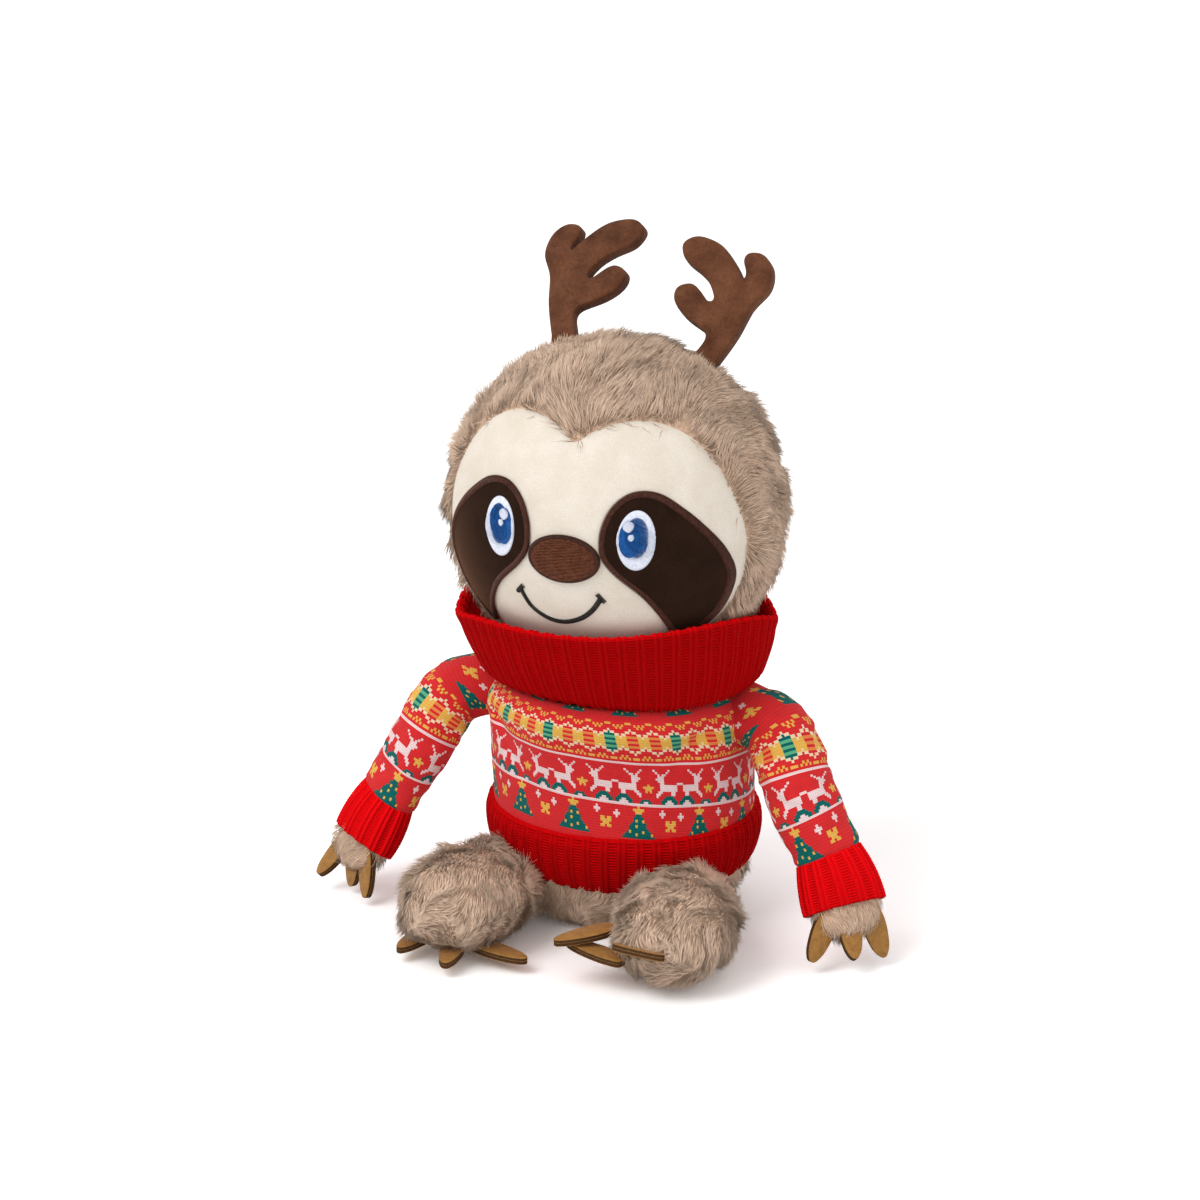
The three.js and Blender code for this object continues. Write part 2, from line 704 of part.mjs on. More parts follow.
// All that an antler's foot reaches while it flexes at its seat
function antlerRoom(side) {
  const { seat, across, along } = antlerFrame(side);
  const reach = furRise + antlerStemRadius + cutOverrun;
  const above = seat.clone().addScaledVector(along, reach);
  const foot = placed(antlerFoot(reach + antlerSeatDepth, motionGap), above, across, along);
  const back = turnedAbout(foot, seat, across, antlerFlex);
  return foot.add(back).add(turnedAbout(foot, seat, across, -antlerFlex));
}

// Claws

function clawPlate(length, allowance) {
  const right = clawShares.map(([across, along]) => (
    new THREE.Vector2(across * clawHalfWidth + allowance, along * length)
  ));
  right[0].y -= allowance;
  const tip = arcAbout(new THREE.Vector2(0, length - clawTipRadius), clawTipRadius + allowance, 0);
  const left = right.map((point) => new THREE.Vector2(-point.x, point.y)).reverse();
  return slab([...right, ...tip, ...left], clawThickness + 2 * allowance);
}

function clawSolid({ root, across, along, length }, allowance) {
  return placed(clawPlate(length, allowance), root, across, along);
}

// Adds a limb's claws, each clear of the ones before it, and cuts their seats in its cloth and filling
function addClaws(claws, prefix, shell, filling, keptFree) {
  let cloth = shell;
  let core = filling;
  let taken = keptFree;
  claws.forEach((claw, index) => {
    const solid = clawSolid(claw, 0);
    const room = clawSolid(claw, gap);
    addPart(`${prefix}_${index + 1}`, largestPiece(solid.subtract(taken)), colours.claw, clawRoughness);
    taken = taken.add(room);
    cloth = cloth.subtract(room);
    core = core.subtract(room);
  });
  return { cloth: largestPiece(cloth), core: largestPiece(core) };
}

// Limbs: forms along a path, with rows of share of its length, half-width and half-depth

function limbRing(path, facing, [share, halfWidth, halfDepth], segments) {
  const inside = THREE.MathUtils.clamp(share, 0, 1);
  const tangent = path.getTangentAt(inside);
  const centre = path.getPointAt(inside).addScaledVector(tangent, (share - inside) * path.getLength());
  const across = new THREE.Vector3().crossVectors(tangent, facing).normalize();
  const through = new THREE.Vector3().crossVectors(tangent, across).normalize();
  return ellipseRing({ centre, across, through, halfWidth, halfDepth }, segments);
}

function limbForm(path, facing, rows, offset = 0) {
  const rings = rows.map(([share, halfWidth, halfDepth]) => (
    limbRing(path, facing, [share, halfWidth + offset, halfDepth + offset], limbSegments)
  ));
  return loft(rings, false);
}

function armPath(sign) {
  const points = armShares.map(([out, forward, down]) => new THREE.Vector3(
    sign * (shoulderHalfSpacing + out * armReach),
    -forward * armForward,
    shoulderHeight - down * armDrop,
  ));
  return new THREE.CatmullRomCurve3(points);
}

// Outside of the sleeve and cuff at a share of the arm's length
function sleeveSize(share) {
  if (share <= elbowShare) {
    const mix = smoothShare(share / elbowShare);
    return [
      THREE.MathUtils.lerp(shoulderRadius, elbowHalfWidth, mix),
      THREE.MathUtils.lerp(shoulderRadius, elbowHalfDepth, mix),
    ];
  }
  if (share <= sleeveEndShare) {
    const mix = smoothShare((share - elbowShare) / (sleeveEndShare - elbowShare));
    return [
      THREE.MathUtils.lerp(elbowHalfWidth, wristHalfWidth, mix),
      THREE.MathUtils.lerp(elbowHalfDepth, wristHalfDepth, mix),
    ];
  }
  const mix = Math.min((share - sleeveEndShare) / (cuffEndShare - sleeveEndShare), 1);
  return [
    THREE.MathUtils.lerp(wristHalfWidth, cuffMouthHalfWidth, mix),
    THREE.MathUtils.lerp(wristHalfDepth, cuffMouthHalfDepth, mix),
  ];
}

function clothRows(shares) {
  return shares.map((share) => [share, ...sleeveSize(share)]);
}

// The furry arm fills the sleeve and cuff, and ends in the rounded hand
function armRows(offset, rootOverrun, tipShare) {
  const [mouthWidth, mouthDepth] = sleeveSize(cuffEndShare);
  const inset = ribThickness + gap;
  const covered = [...sleeveShares, ...cuffShares.slice(1)].map((share) => {
    const [halfWidth, halfDepth] = sleeveSize(share);
    return [share, halfWidth - inset + offset, halfDepth - inset + offset];
  });
  const root = rootOverrun ? [[covered[0][0] - rootOverrun, covered[0][1], covered[0][2]]] : [];
  const hand = handEndShares.map(([share, size]) => [
    THREE.MathUtils.lerp(cuffEndShare, tipShare, (share - cuffEndShare) / (1 - cuffEndShare)),
    (mouthWidth - inset + offset) * size,
    (mouthDepth - inset + offset) * size,
  ]);
  return [...root, ...covered, ...hand];
}

// An open tube of cloth: the inside runs past both ends
function clothTube(path, facing, shares, thickness) {
  const rows = clothRows(shares);
  const overrun = cutOverrun / path.getLength();
  const [start, ...startSize] = rows[0];
  const [end, ...endSize] = rows[rows.length - 1];
  const inside = [[start - overrun, ...startSize], ...rows, [end + overrun, ...endSize]];
  return limbForm(path, facing, rows).subtract(limbForm(path, facing, inside, -thickness));
}

function handClaws(path, facing, side) {
  const tangent = path.getTangentAt(1);
  const across = new THREE.Vector3().crossVectors(facing, zAxis).multiplyScalar(-side.sign).normalize();
  const down = zAxis.clone().negate();
  const end = path.getPointAt(1).addScaledVector(tangent, -handClawInset);
  return handClawPoses[side.name].map(({ fan, dip }, index) => {
    const along = down.clone().multiplyScalar(Math.cos(radians(fan)));
    along.addScaledVector(across, Math.sin(radians(fan)));
    along.multiplyScalar(Math.cos(radians(dip))).addScaledVector(facing, Math.sin(radians(dip)));
    const base = end.clone().addScaledVector(across, (index - 1) * handClawSpacing);
    const root = base.addScaledVector(along, -clawSeatDepth);
    const width = new THREE.Vector3().crossVectors(along, facing).normalize();
    return { root, across: width, along, length: handClawLength };
  });
}

function addArm(side) {
  const { name, sign } = side;
  const path = armPath(sign);
  const facing = new THREE.Vector3(0, -1, 0).applyAxisAngle(zAxis, radians(sign * armFacing));
  const shoulder = path.getPointAt(0);
  const swept = sweptPast(envelope, shoulder, xAxis, -armSwingForward, armSwingBack);
  const joint = gap / path.getLength();
  const cuff = [cuffShares[0] + joint, ...cuffShares.slice(1)];
  const tipShare = 1 - armFurThickness / path.getLength();
  const overrun = cutOverrun / path.getLength();
  const outer = limbForm(path, facing, armRows(0, 0, 1));
  const cavity = limbForm(path, facing, armRows(-armFurThickness, overrun, tipShare));
  const fill = limbForm(path, facing, armRows(-armFurThickness - gap, 0, tipShare - joint));
  const fur = outer.subtract(cavity).subtract(swept);
  const cuffRoom = clothTube(path, facing, cuffShares, ribThickness + gap);
  const claws = handClaws(path, facing, side);
  const clawed = addClaws(claws, `hand_claw_${name}`, fur, fill.subtract(swept), cuffRoom);
  const sleeve = clothTube(path, facing, sleeveShares, jerseyThickness).subtract(swept);
  addPart(`sleeve_${name}`, largestPiece(sleeve), colours.print);
  addPart(`cuff_${name}`, clothTube(path, facing, cuff, ribThickness), colours.rib);
  addPart(`arm_fur_${name}`, clawed.cloth, colours.fur);
  addPart(`arm_stuffing_${name}`, clawed.core, colours.filling);
}

// Legs

function legRows(offset, rootOverrun, tipShare) {
  const rows = legShares.map(([share, size]) => {
    const layer = offset * Math.min(size / slimShare, 1);
    return [share * tipShare, footHalfWidth * size + layer, footHalfHeight * size + layer];
  });
  const [root, ...rootSize] = rows[0];
  return rootOverrun ? [[root - rootOverrun, ...rootSize], ...rows] : rows;
}

function footClaws(path, { name, sign }) {
  const heading = path.getTangentAt(0);
  const outward = new THREE.Vector3().crossVectors(heading, zAxis).multiplyScalar(-sign);
  const middle = path.getPointAt(1).addScaledVector(heading, -footHalfLength);
  return footClawPoses[name].map((pose) => {
    const [out, forward, up] = pose.rootShares;
    const root = middle.clone().addScaledVector(outward, out * footHalfWidth);
    root.addScaledVector(yAxis, -forward * footHalfLength).addScaledVector(zAxis, up * footHalfHeight);
    const along = new THREE.Vector3(0, -1, 0).applyAxisAngle(zAxis, radians(sign * pose.heading));
    const across = new THREE.Vector3().crossVectors(along, zAxis).normalize();
    along.applyAxisAngle(across, radians(pose.pitch));
    across.applyAxisAngle(along, radians(pose.roll));
    return { root, across, along, length: footClawLength };
  });
}

function addLeg(side) {
  const { name, sign } = side;
  const hip = new THREE.Vector3(sign * hipHalfSpacing, -hipForward, footHalfHeight - seatFlatDepth);
  const heading = new THREE.Vector3(0, -1, 0).applyAxisAngle(zAxis, radians(sign * legSplay));
  const path = new THREE.LineCurve3(hip, hip.clone().addScaledVector(heading, legLength));
  const swept = sweptPast(envelope, hip, xAxis, -legRaise, legLower);
  const overrun = cutOverrun / legLength;
  const tipShare = 1 - furThickness / legLength;
  const outer = limbForm(path, zAxis, legRows(0, 0, 1));
  const cavity = limbForm(path, zAxis, legRows(-furThickness, overrun, tipShare));
  const fill = limbForm(path, zAxis, legRows(-furThickness - gap, 0, tipShare - gap / legLength));
  const fur = outer.subtract(cavity).subtract(swept).subtract(underfloor);
  const clawed = addClaws(footClaws(path, side), `foot_claw_${name}`, fur, fill.subtract(swept), underfloor);
  addPart(`leg_fur_${name}`, clawed.cloth, colours.fur);
  addPart(`leg_stuffing_${name}`, clawed.core, colours.filling);
}

addTorso();
addNeck();
addJersey();
addHem();
addCollar();
addHead();
sides.forEach(addEye);
sides.forEach(addAntler);
sides.forEach(addArm);
sides.forEach(addLeg);

export default object;
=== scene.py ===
# A seated plush sloth with felt antlers and a knitted winter jumper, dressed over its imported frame.
# Metres, +Z up. The toy looks along -Y; its own left is +X.
import math

import bmesh
import bpy
import numpy as np
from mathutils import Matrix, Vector, noise


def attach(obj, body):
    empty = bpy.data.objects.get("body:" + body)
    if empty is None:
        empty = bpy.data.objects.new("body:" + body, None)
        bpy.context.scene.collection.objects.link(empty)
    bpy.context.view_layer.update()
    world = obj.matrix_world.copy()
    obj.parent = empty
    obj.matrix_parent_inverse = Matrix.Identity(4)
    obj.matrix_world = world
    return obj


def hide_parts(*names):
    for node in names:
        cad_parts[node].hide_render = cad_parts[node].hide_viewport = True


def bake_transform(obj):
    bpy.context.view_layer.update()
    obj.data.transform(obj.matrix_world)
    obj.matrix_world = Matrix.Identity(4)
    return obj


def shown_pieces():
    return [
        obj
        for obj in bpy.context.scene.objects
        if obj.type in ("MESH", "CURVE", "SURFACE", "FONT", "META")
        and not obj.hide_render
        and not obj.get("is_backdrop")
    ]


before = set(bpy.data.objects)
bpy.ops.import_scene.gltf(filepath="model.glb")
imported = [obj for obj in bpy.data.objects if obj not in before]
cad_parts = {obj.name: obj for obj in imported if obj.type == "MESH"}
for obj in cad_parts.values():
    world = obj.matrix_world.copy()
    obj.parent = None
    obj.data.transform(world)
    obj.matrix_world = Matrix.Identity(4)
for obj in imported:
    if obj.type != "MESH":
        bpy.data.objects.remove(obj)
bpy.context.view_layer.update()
mm = 0.001
sides = {"left": 1, "right": -1}


# Gives a node its inputs, by name or in order; a node as a value stands for its first output
def feed(tree, node, inputs):
    for key, value in inputs.items() if isinstance(inputs, dict) else enumerate(inputs):
        if isinstance(value, bpy.types.Node):
            value = value.outputs[0]
        if isinstance(value, bpy.types.NodeSocket):
            tree.links.new(value, node.inputs[key])
        else:
            node.inputs[key].default_value = value


# A kind without its prefix is a shader node
def addNode(tree, kind, inputs=(), **settings):
    made = tree.nodes.new(kind if "Node" in kind else "ShaderNode" + kind)
    for key, value in settings.items():
        setattr(made, key, value)
    feed(tree, made, inputs)
    return made


def linear(hexColour):
    channels = [int(hexColour[i:i + 2], 16) / 255 for i in (1, 3, 5)]
    return [c / 12.92 if c <= 0.04045 else ((c + 0.055) / 1.055) ** 2.4 for c in channels] + [1.0]


def newMaterial(name, roughness, specular, sheen=0.0, sheenRoughness=0.5, tint="#FFFFFF"):
    material = bpy.data.materials.new(name)
    material.use_nodes = True
    tree = material.node_tree
    shader = tree.nodes["Principled BSDF"]
    feed(tree, shader, {
        "Roughness": roughness, "Specular IOR Level": specular, "Sheen Weight": sheen,
        "Sheen Roughness": sheenRoughness, "Sheen Tint": linear(tint),
    })
    return material, tree, shader


# What a texture is given: its place, the size of its features in millimetres, and its shape
def grainOf(place, size, *shape):
    named = zip(("Detail", "Roughness", "Distortion"), shape)
    return {"Vector": place, "Scale": 1 / (size * mm), **dict(named)}


def setRamp(ramp, stops):
    elements = ramp.color_ramp.elements
    while len(elements) < len(stops):
        elements.new(0.5)
    for element, (position, colour) in zip(elements, stops):
        element.position = position
        element.color = linear(colour)


# Long-pile faux fur: soft acrylic pile that scatters light as one rounded form, a little darker at the root
def makePile():
    material, tree, shader = newMaterial("longPileFur", 1.0, 0.05, 0.12, 0.7, "#F2D8BE")
    along, tone, under = [
        addNode(tree, "Attribute", attribute_name=name) for name in ("along", "tone", "under")
    ]
    place = addNode(tree, "TexCoord").outputs["Object"]
    ramp = addNode(tree, "ValToRGB", [along.outputs["Fac"]])
    setRamp(ramp, [(0.0, "#E3C0A4"), (0.4, "#F0CCB0"), (1.0, "#F8DBC2")])
    mottle = addNode(tree, "TexNoise", grainOf(place, 13, 4.0, 0.6))
    shade = addNode(tree, "MapRange", [mottle, 0.3, 0.7, 0.86, 1.08])
    single = addNode(tree, "MapRange", [tone.outputs["Fac"], 0.0, 1.0, 0.9, 1.08])
    # painted light: the pile is painted brighter low down on the legs and feet and darker high up on the head
    height = addNode(tree, "SeparateXYZ", [place]).outputs["Z"]
    loose = addNode(tree, "MapRange", [height, 45 * mm, 110 * mm, 1.15, 0.87])
    both = addNode(tree, "Math", [shade, single], operation="MULTIPLY")
    level = addNode(tree, "Math", [both, loose], operation="MULTIPLY")
    tint = addNode(tree, "HueSaturation", {"Color": ramp, "Value": level})
    # the pile is shaded mostly by the skin it stands on
    turned = addNode(tree, "VectorTransform", [under.outputs["Vector"]],
                     vector_type="NORMAL", convert_from="OBJECT", convert_to="WORLD")
    own = addNode(tree, "NewGeometry").outputs["Normal"]
    blended = addNode(tree, "Mix", {0: 0.9, 4: own, 5: turned}, data_type="VECTOR")
    facing = addNode(tree, "VectorMath", [blended.outputs[1]], operation="NORMALIZE")
    feed(tree, shader, {"Base Color": tint, "Normal": facing})
    # thin fibres let part of the light that reaches them pass on
    path = addNode(tree, "LightPath").outputs
    lit = addNode(tree, "Math", [path["Is Shadow Ray"], path["Is Diffuse Ray"]], operation="MAXIMUM")
    passed = addNode(tree, "Math", [lit, 0.7], operation="MULTIPLY")
    mixed = addNode(tree, "MixShader", [passed, shader, addNode(tree, "BsdfTransparent")])
    feed(tree, tree.nodes["Material Output"], [mixed])
    return material


# Cloth: tones from its fibres, which a broad cloud deepens, fibres that stand out by a depth, and if asked a painted
# highlight on faces that look up
def makeCloth(name, surface, stops, fibres, cloud=None, depth=0.0, strength=1.0, kind="TexNoise",
              paintedTopHighlight=False):
    material, tree, shader = newMaterial(name, *surface)
    place = addNode(tree, "TexCoord").outputs["Object"]
    grain = addNode(tree, kind, grainOf(place, *fibres))
    tone = grain
    if cloud:
        broad = addNode(tree, "TexNoise", grainOf(place, *cloud))
        tone = addNode(tree, "Math", [broad, grain], operation="MULTIPLY")
    colour = addNode(tree, "ValToRGB", [tone])
    setRamp(colour, stops)
    if paintedTopHighlight:
        # painted highlight: faces that look up are painted brighter, as light from above would make them
        normal = addNode(tree, "SeparateXYZ", [addNode(tree, "NewGeometry").outputs["Normal"]])
        topHighlight = addNode(tree, "MapRange", [normal.outputs["Z"], 0.0, 0.7, 1.0, 1.6])
        colour = addNode(tree, "HueSaturation", {"Color": colour, "Value": topHighlight})
    feed(tree, shader, {"Base Color": colour})
    if depth:
        relief = addNode(tree, "Bump", {"Height": grain, "Distance": depth * mm, "Strength": strength})
        feed(tree, shader, {"Normal": relief})
    return material


# Short-pile velboa: a shorn knit plush, whose pile gives a soft sheen and a faint grain
def makeShortPile(name, light, dark, sheen, tint):
    return makeCloth(name, (0.9, 0.08, sheen, 0.4, tint), [(0.12, dark), (0.36, light)], (0.6, 2.0, 0.6),
                     cloud=(14, 3.0, 0.5, 0.6), depth=0.15, strength=0.6)


# Polyester embroidery thread laid in satin stitch
def makeThread(name, light, dark):
    return makeCloth(name, (0.5, 0.22, 0.05, 0.3), [(0.35, dark), (0.65, light)], (1.1, 2.0))


# Acrylic rib yarn: matt, a little fuzzy, with a painted highlight on faces that look up
def makeYarn(name, light, dark):
    return makeCloth(name, (0.9, 0.05), [(0.3, dark), (0.7, light)], (0.7, 3.0, 0.65), depth=0.12, paintedTopHighlight=True)


# Loose fibre, pellets, and the cut edge of leathercloth
def makeFilling(name, light, dark, grain):
    return makeCloth(name, (0.9, 0.2), [(0.1, light), (0.8, dark)], (grain,), depth=0.2 * grain,
                     kind="TexVoronoi")


# Printed jersey: fine polyester knit whose print sits on the stitches, in cells as wide as a stitch
def makeJersey(cell):
    material, tree, shader = newMaterial("printedJersey", 0.8, 0.12, 0.06, 0.4)
    printed = addNode(tree, "Attribute", attribute_name="print")
    axes = addNode(tree, "SeparateXYZ", [addNode(tree, "UVMap", uv_map="stitches")]).outputs
    # one V of yarn to a cell: a slanted wave that mirrors at the stitch's middle
    half = addNode(tree, "Math", [axes["X"], 0.5], operation="PINGPONG")
    slant = addNode(tree, "Math", [half, axes["Y"]], operation="ADD")
    turns = addNode(tree, "Math", [slant, 2 * math.pi], operation="MULTIPLY")
    wave = addNode(tree, "Math", [turns], operation="SINE")
    uneven = addNode(tree, "TexNoise", grainOf(addNode(tree, "TexCoord").outputs["Object"], 5, 3.0))
    # painted shade: the wave also paints the troughs between a stitch's legs darker and its legs brighter
    level = addNode(tree, "MapRange", [wave, -1.0, 1.0, 0.88, 1.06])
    wear = addNode(tree, "MapRange", [uneven, 0.0, 1.0, 0.9, 1.1])
    both = addNode(tree, "Math", [level, wear], operation="MULTIPLY")
    tint = addNode(tree, "HueSaturation", {"Color": printed, "Value": both})
    relief = addNode(tree, "Bump", {"Height": wave, "Distance": 0.1 * cell, "Strength": 1.0})
    feed(tree, shader, {"Base Color": tint, "Normal": relief})
    return material


# Mesh helpers: points are arrays in metres, rings run round the form

def addObject(name, data):
    made = bpy.data.objects.new(name, data)
    bpy.context.collection.objects.link(made)
    return made


def addMesh(name, points, faces, material):
    mesh = bpy.data.meshes.new(name)
    mesh.from_pydata(np.asarray(points).tolist(), [], faces)
    mesh.materials.append(material)
    mesh.polygons.foreach_set("use_smooth", [True] * len(mesh.polygons))
    return addObject(name, mesh)


def turnOutward(piece):
    shape = bmesh.new()
    shape.from_mesh(piece.data)
    bmesh.ops.recalc_face_normals(shape, faces=shape.faces)
    shape.to_mesh(piece.data)
    shape.free()
    return piece


def bandFaces(rows, columns, hoop=False):
    faces = []
    for row in range(rows if hoop else rows - 1):
        low = row * columns
        high = (row + 1) % rows * columns
        for c in range(columns):
            d = (c + 1) % columns
            faces.append((low + c, low + d, high + d, high + c))
    return faces


# Rings joined into one surface; its first and last ring close on a point unless they meet
def loft(name, rings, material, hoop=False):
    rows, columns = rings.shape[:2]
    points = rings.reshape(-1, 3)
    faces = bandFaces(rows, columns, hoop)
    if not hoop:
        points = np.concatenate([points, [rings[0].mean(0), rings[-1].mean(0)]])
        first = rows * columns
        last = first - columns
        for c in range(columns):
            d = (c + 1) % columns
            faces.append((first, d, c))
            faces.append((first + 1, last + c, last + d))
    return turnOutward(addMesh(name, points, faces, material))


def setAttribute(piece, name, kind, values, domain="POINT"):
    field = {"FLOAT": "value", "FLOAT_VECTOR": "vector", "FLOAT_COLOR": "color"}[kind]
    layer = piece.data.attributes.new(name, kind, domain)
    layer.data.foreach_set(field, np.asarray(values, np.float32).ravel())


def readPoints(piece, field="co"):
    found = np.zeros(len(piece.data.vertices) * 3)
    piece.data.vertices.foreach_get(field, found)
    return found.reshape(-1, 3)


def movePoints(piece, points):
    piece.data.vertices.foreach_set("co", points.ravel())
    piece.data.update()


def unit(vectors):
    return vectors / np.maximum(np.linalg.norm(vectors, axis=-1, keepdims=True), 1e-12)


def smoothStep(share):
    share = np.clip(share, 0, 1)
    return share * share * (3 - 2 * share)


# Value noise from -1 to 1 at each point, with features of a size
def noiseAt(points, size, seed=0.0):
    offset = Vector((seed, 2 * seed, -seed))
    found = [noise.noise(Vector(p) / size + offset) for p in points.reshape(-1, 3)]
    return np.array(found).reshape(points.shape[:-1])


def swirlAt(points, size, seeds):
    return np.stack([noiseAt(points, size, seed) for seed in seeds], axis=1)


# Uniform Catmull-Rom curve through points
def smoothLine(points, steps, closed=True):
    points = np.asarray(points, float)
    count = len(points)
    t = np.arange(steps)[:, None] / steps
    made = []
    for i in range(count if closed else count - 1):
        picks = np.array([i - 1, i, i + 1, i + 2])
        a, b, c, d = points[picks % count if closed else np.clip(picks, 0, count - 1)]
        made.append(0.5 * (2 * b + (c - a) * t + (2 * a - 5 * b + 4 * c - d) * t**2
                           + (3 * b - a - 3 * c + d) * t**3))
    if not closed:
        made.append(points[-1:])
    return np.concatenate(made)


def distances(line):
    return np.concatenate([[0], np.cumsum(np.linalg.norm(np.diff(line, axis=0), axis=1))])


# The same line with points at equal distances
def respaced(line, count, closed=True):
    whole = np.concatenate([line, line[:1]]) if closed else line
    walked = distances(whole)
    spots = np.linspace(0, walked[-1], count, endpoint=not closed)
    return np.stack([np.interp(spots, walked, whole[:, k]) for k in range(whole.shape[1])], axis=1)


def softened(line, times):
    for _ in range(times):
        line = 0.5 * line + 0.25 * (np.roll(line, 1, axis=0) + np.roll(line, -1, axis=0))
    return line


def circle(columns):
    return np.linspace(0, 2 * math.pi, columns, endpoint=False)


# Reads a surface of rings between its points: share round, row number and lift along its outward normal
def reader(rings, inward=False):
    rows, columns = rings.shape[:2]
    wrapped = np.concatenate([rings, rings[:, :1]], axis=1)

    def flat(u, v):
        u = np.mod(u, 1.0) * columns
        v = np.clip(v, 0, rows - 1.000001)
        c = np.minimum(u.astype(int), columns - 1)
        r = v.astype(int)
        s = (u - c)[..., None]
        t = (v - r)[..., None]
        low = wrapped[r, c] * (1 - s) + wrapped[r, c + 1] * s
        high = wrapped[r + 1, c] * (1 - s) + wrapped[r + 1, c + 1] * s
        return low * (1 - t) + high * t

    def at(u, v, lift):
        u, v, lift = np.broadcast_arrays(*[np.asarray(values, float) for values in (u, v, lift)])
        inside = np.clip(v, 0.5, rows - 1.5)
        across = flat(u + 0.004, inside) - flat(u - 0.004, inside)
        along = flat(u, inside + 0.5) - flat(u, inside - 0.5)
        normal = unit(np.cross(across, along)) * (-1 if inward else 1)
        return flat(u, v) + normal * lift[..., None]

    return at


# Node trees that repeat a shape over a base

def newTree(name, inputs):
    tree = bpy.data.node_groups.new(name, "GeometryNodeTree")
    tree.interface.new_socket("Geometry", in_out="OUTPUT", socket_type="NodeSocketGeometry")
    for label, kind in {"Geometry": "Geometry", **inputs}.items():
        tree.interface.new_socket(label, in_out="INPUT", socket_type="NodeSocket" + kind)
    return tree, addNode(tree, "NodeGroupInput").outputs


def grown(base, tree, name, inputs):
    maker = base.modifiers.new("grow", "NODES")
    maker.node_group = tree
    for socket in tree.interface.items_tree:
        if socket.in_out == "INPUT" and socket.name in inputs:
            maker[socket.identifier] = inputs[socket.name]
    graph = bpy.context.evaluated_depsgraph_get()
    mesh = bpy.data.meshes.new_from_object(base.evaluated_get(graph), preserve_all_data_layers=True,
                                           depsgraph=graph)
    base.modifiers.remove(maker)
    for spare in ("flow", "pile", "dense"):
        if spare in mesh.attributes:
            mesh.attributes.remove(mesh.attributes[spare])
    mesh.name = name
    return addObject(name, mesh)


# One strand of pile a unit long: three sides, fuller at its middle, bent over towards its tip
def makeStrand():
    points = []
    for height, radius, bend in ((0.0, 0.018, 0.0), (0.5, 0.0175, 0.09)):
        for turn in circle(3):
            points.append((bend + radius * math.cos(turn), radius * math.sin(turn), height))
    points.append((0.36, 0, 0.92))
    faces = [(2, 1, 0), (0, 1, 4, 3), (1, 2, 5, 4), (2, 0, 3, 5), (3, 4, 6), (4, 5, 6), (5, 3, 6)]
    made = addMesh("strand", points, faces, None)
    setAttribute(made, "along", "FLOAT", [0, 0, 0, 0.5, 0.5, 0.5, 1])
    return made


# Strands all over a skin, laid along its flow, wavering, and drawn together in clumps
def makePileTree():
    numbers = ("Spacing", "Density", "Lift", "Lean", "Waver", "Waver size", "Clump", "Clump size")
    tree, given = newTree("pileTree", {
        "Strand": "Object", **{label: "Float" for label in numbers}, "Seed": "Int", "Material": "Material",
    })
    dense, pile, flow = [
        addNode(tree, "GeometryNodeInputNamedAttribute", {"Name": name}, data_type=kind).outputs["Attribute"]
        for name, kind in (("dense", "FLOAT"), ("pile", "FLOAT"), ("flow", "FLOAT_VECTOR"))
    ]
    spots = addNode(tree, "GeometryNodeDistributePointsOnFaces", {
        "Mesh": given["Geometry"], "Distance Min": given["Spacing"], "Density Max": given["Density"],
        "Density Factor": dense, "Seed": given["Seed"],
    }, distribute_method="POISSON").outputs
    place = addNode(tree, "GeometryNodeInputPosition")
    waves = addNode(tree, "TexNoise", {"Vector": place, "Scale": given["Waver size"], "Detail": 1.0})
    centred = addNode(tree, "VectorMath", [waves.outputs["Color"], (0.5, 0.5, 0.5)], operation="SUBTRACT")
    cells = addNode(tree, "TexVoronoi", {"Vector": place, "Scale": given["Clump size"]})
    inwards = addNode(tree, "VectorMath", [cells.outputs["Position"], place], operation="SUBTRACT")
    raised, leant, wavered, drawn = [
        addNode(tree, "VectorMath", {0: way, 3: given[amount]}, operation="SCALE")
        for way, amount in ((spots["Normal"], "Lift"), (flow, "Lean"), (centred, "Waver"), (inwards, "Clump"))
    ]
    loose = addNode(tree, "FunctionNodeRandomValue", {0: [-0.16] * 3, 1: [0.16] * 3, 8: 5},
                    data_type="FLOAT_VECTOR")
    total = raised
    for part in (leant, wavered, drawn, loose):
        total = addNode(tree, "VectorMath", [total, part], operation="ADD")
    standing = addNode(tree, "FunctionNodeAlignRotationToVector", {"Vector": total}, axis="Z")
    turned = addNode(tree, "FunctionNodeAlignRotationToVector", {"Rotation": standing, "Vector": leant},
                     axis="X", pivot_axis="Z")
    uneven = addNode(tree, "FunctionNodeRandomValue", {2: 0.75, 3: 1.15, 8: 7}, data_type="FLOAT")
    length = addNode(tree, "Math", [pile, uneven.outputs[1]], operation="MULTIPLY")
    strand = addNode(tree, "GeometryNodeObjectInfo", {"Object": given["Strand"], "As Instance": True})
    copies = addNode(tree, "GeometryNodeInstanceOnPoints", {
        "Points": spots["Points"], "Instance": strand.outputs["Geometry"], "Rotation": turned,
        "Scale": length,
    })
    tone = addNode(tree, "FunctionNodeRandomValue", {2: 0.0, 3: 1.0, 8: 9}, data_type="FLOAT")
    toned = addNode(tree, "GeometryNodeStoreNamedAttribute", {
        "Geometry": copies, "Name": "tone", "Value": tone.outputs[1],
    }, data_type="FLOAT", domain="INSTANCE")
    based = addNode(tree, "GeometryNodeStoreNamedAttribute", {
        "Geometry": toned, "Name": "under", "Value": spots["Normal"],
    }, data_type="FLOAT_VECTOR", domain="INSTANCE")
    real = addNode(tree, "GeometryNodeRealizeInstances", {"Geometry": based})
    painted = addNode(tree, "GeometryNodeSetMaterial", {"Geometry": real, "Material": given["Material"]})
    addNode(tree, "NodeGroupOutput", {"Geometry": painted})
    return tree


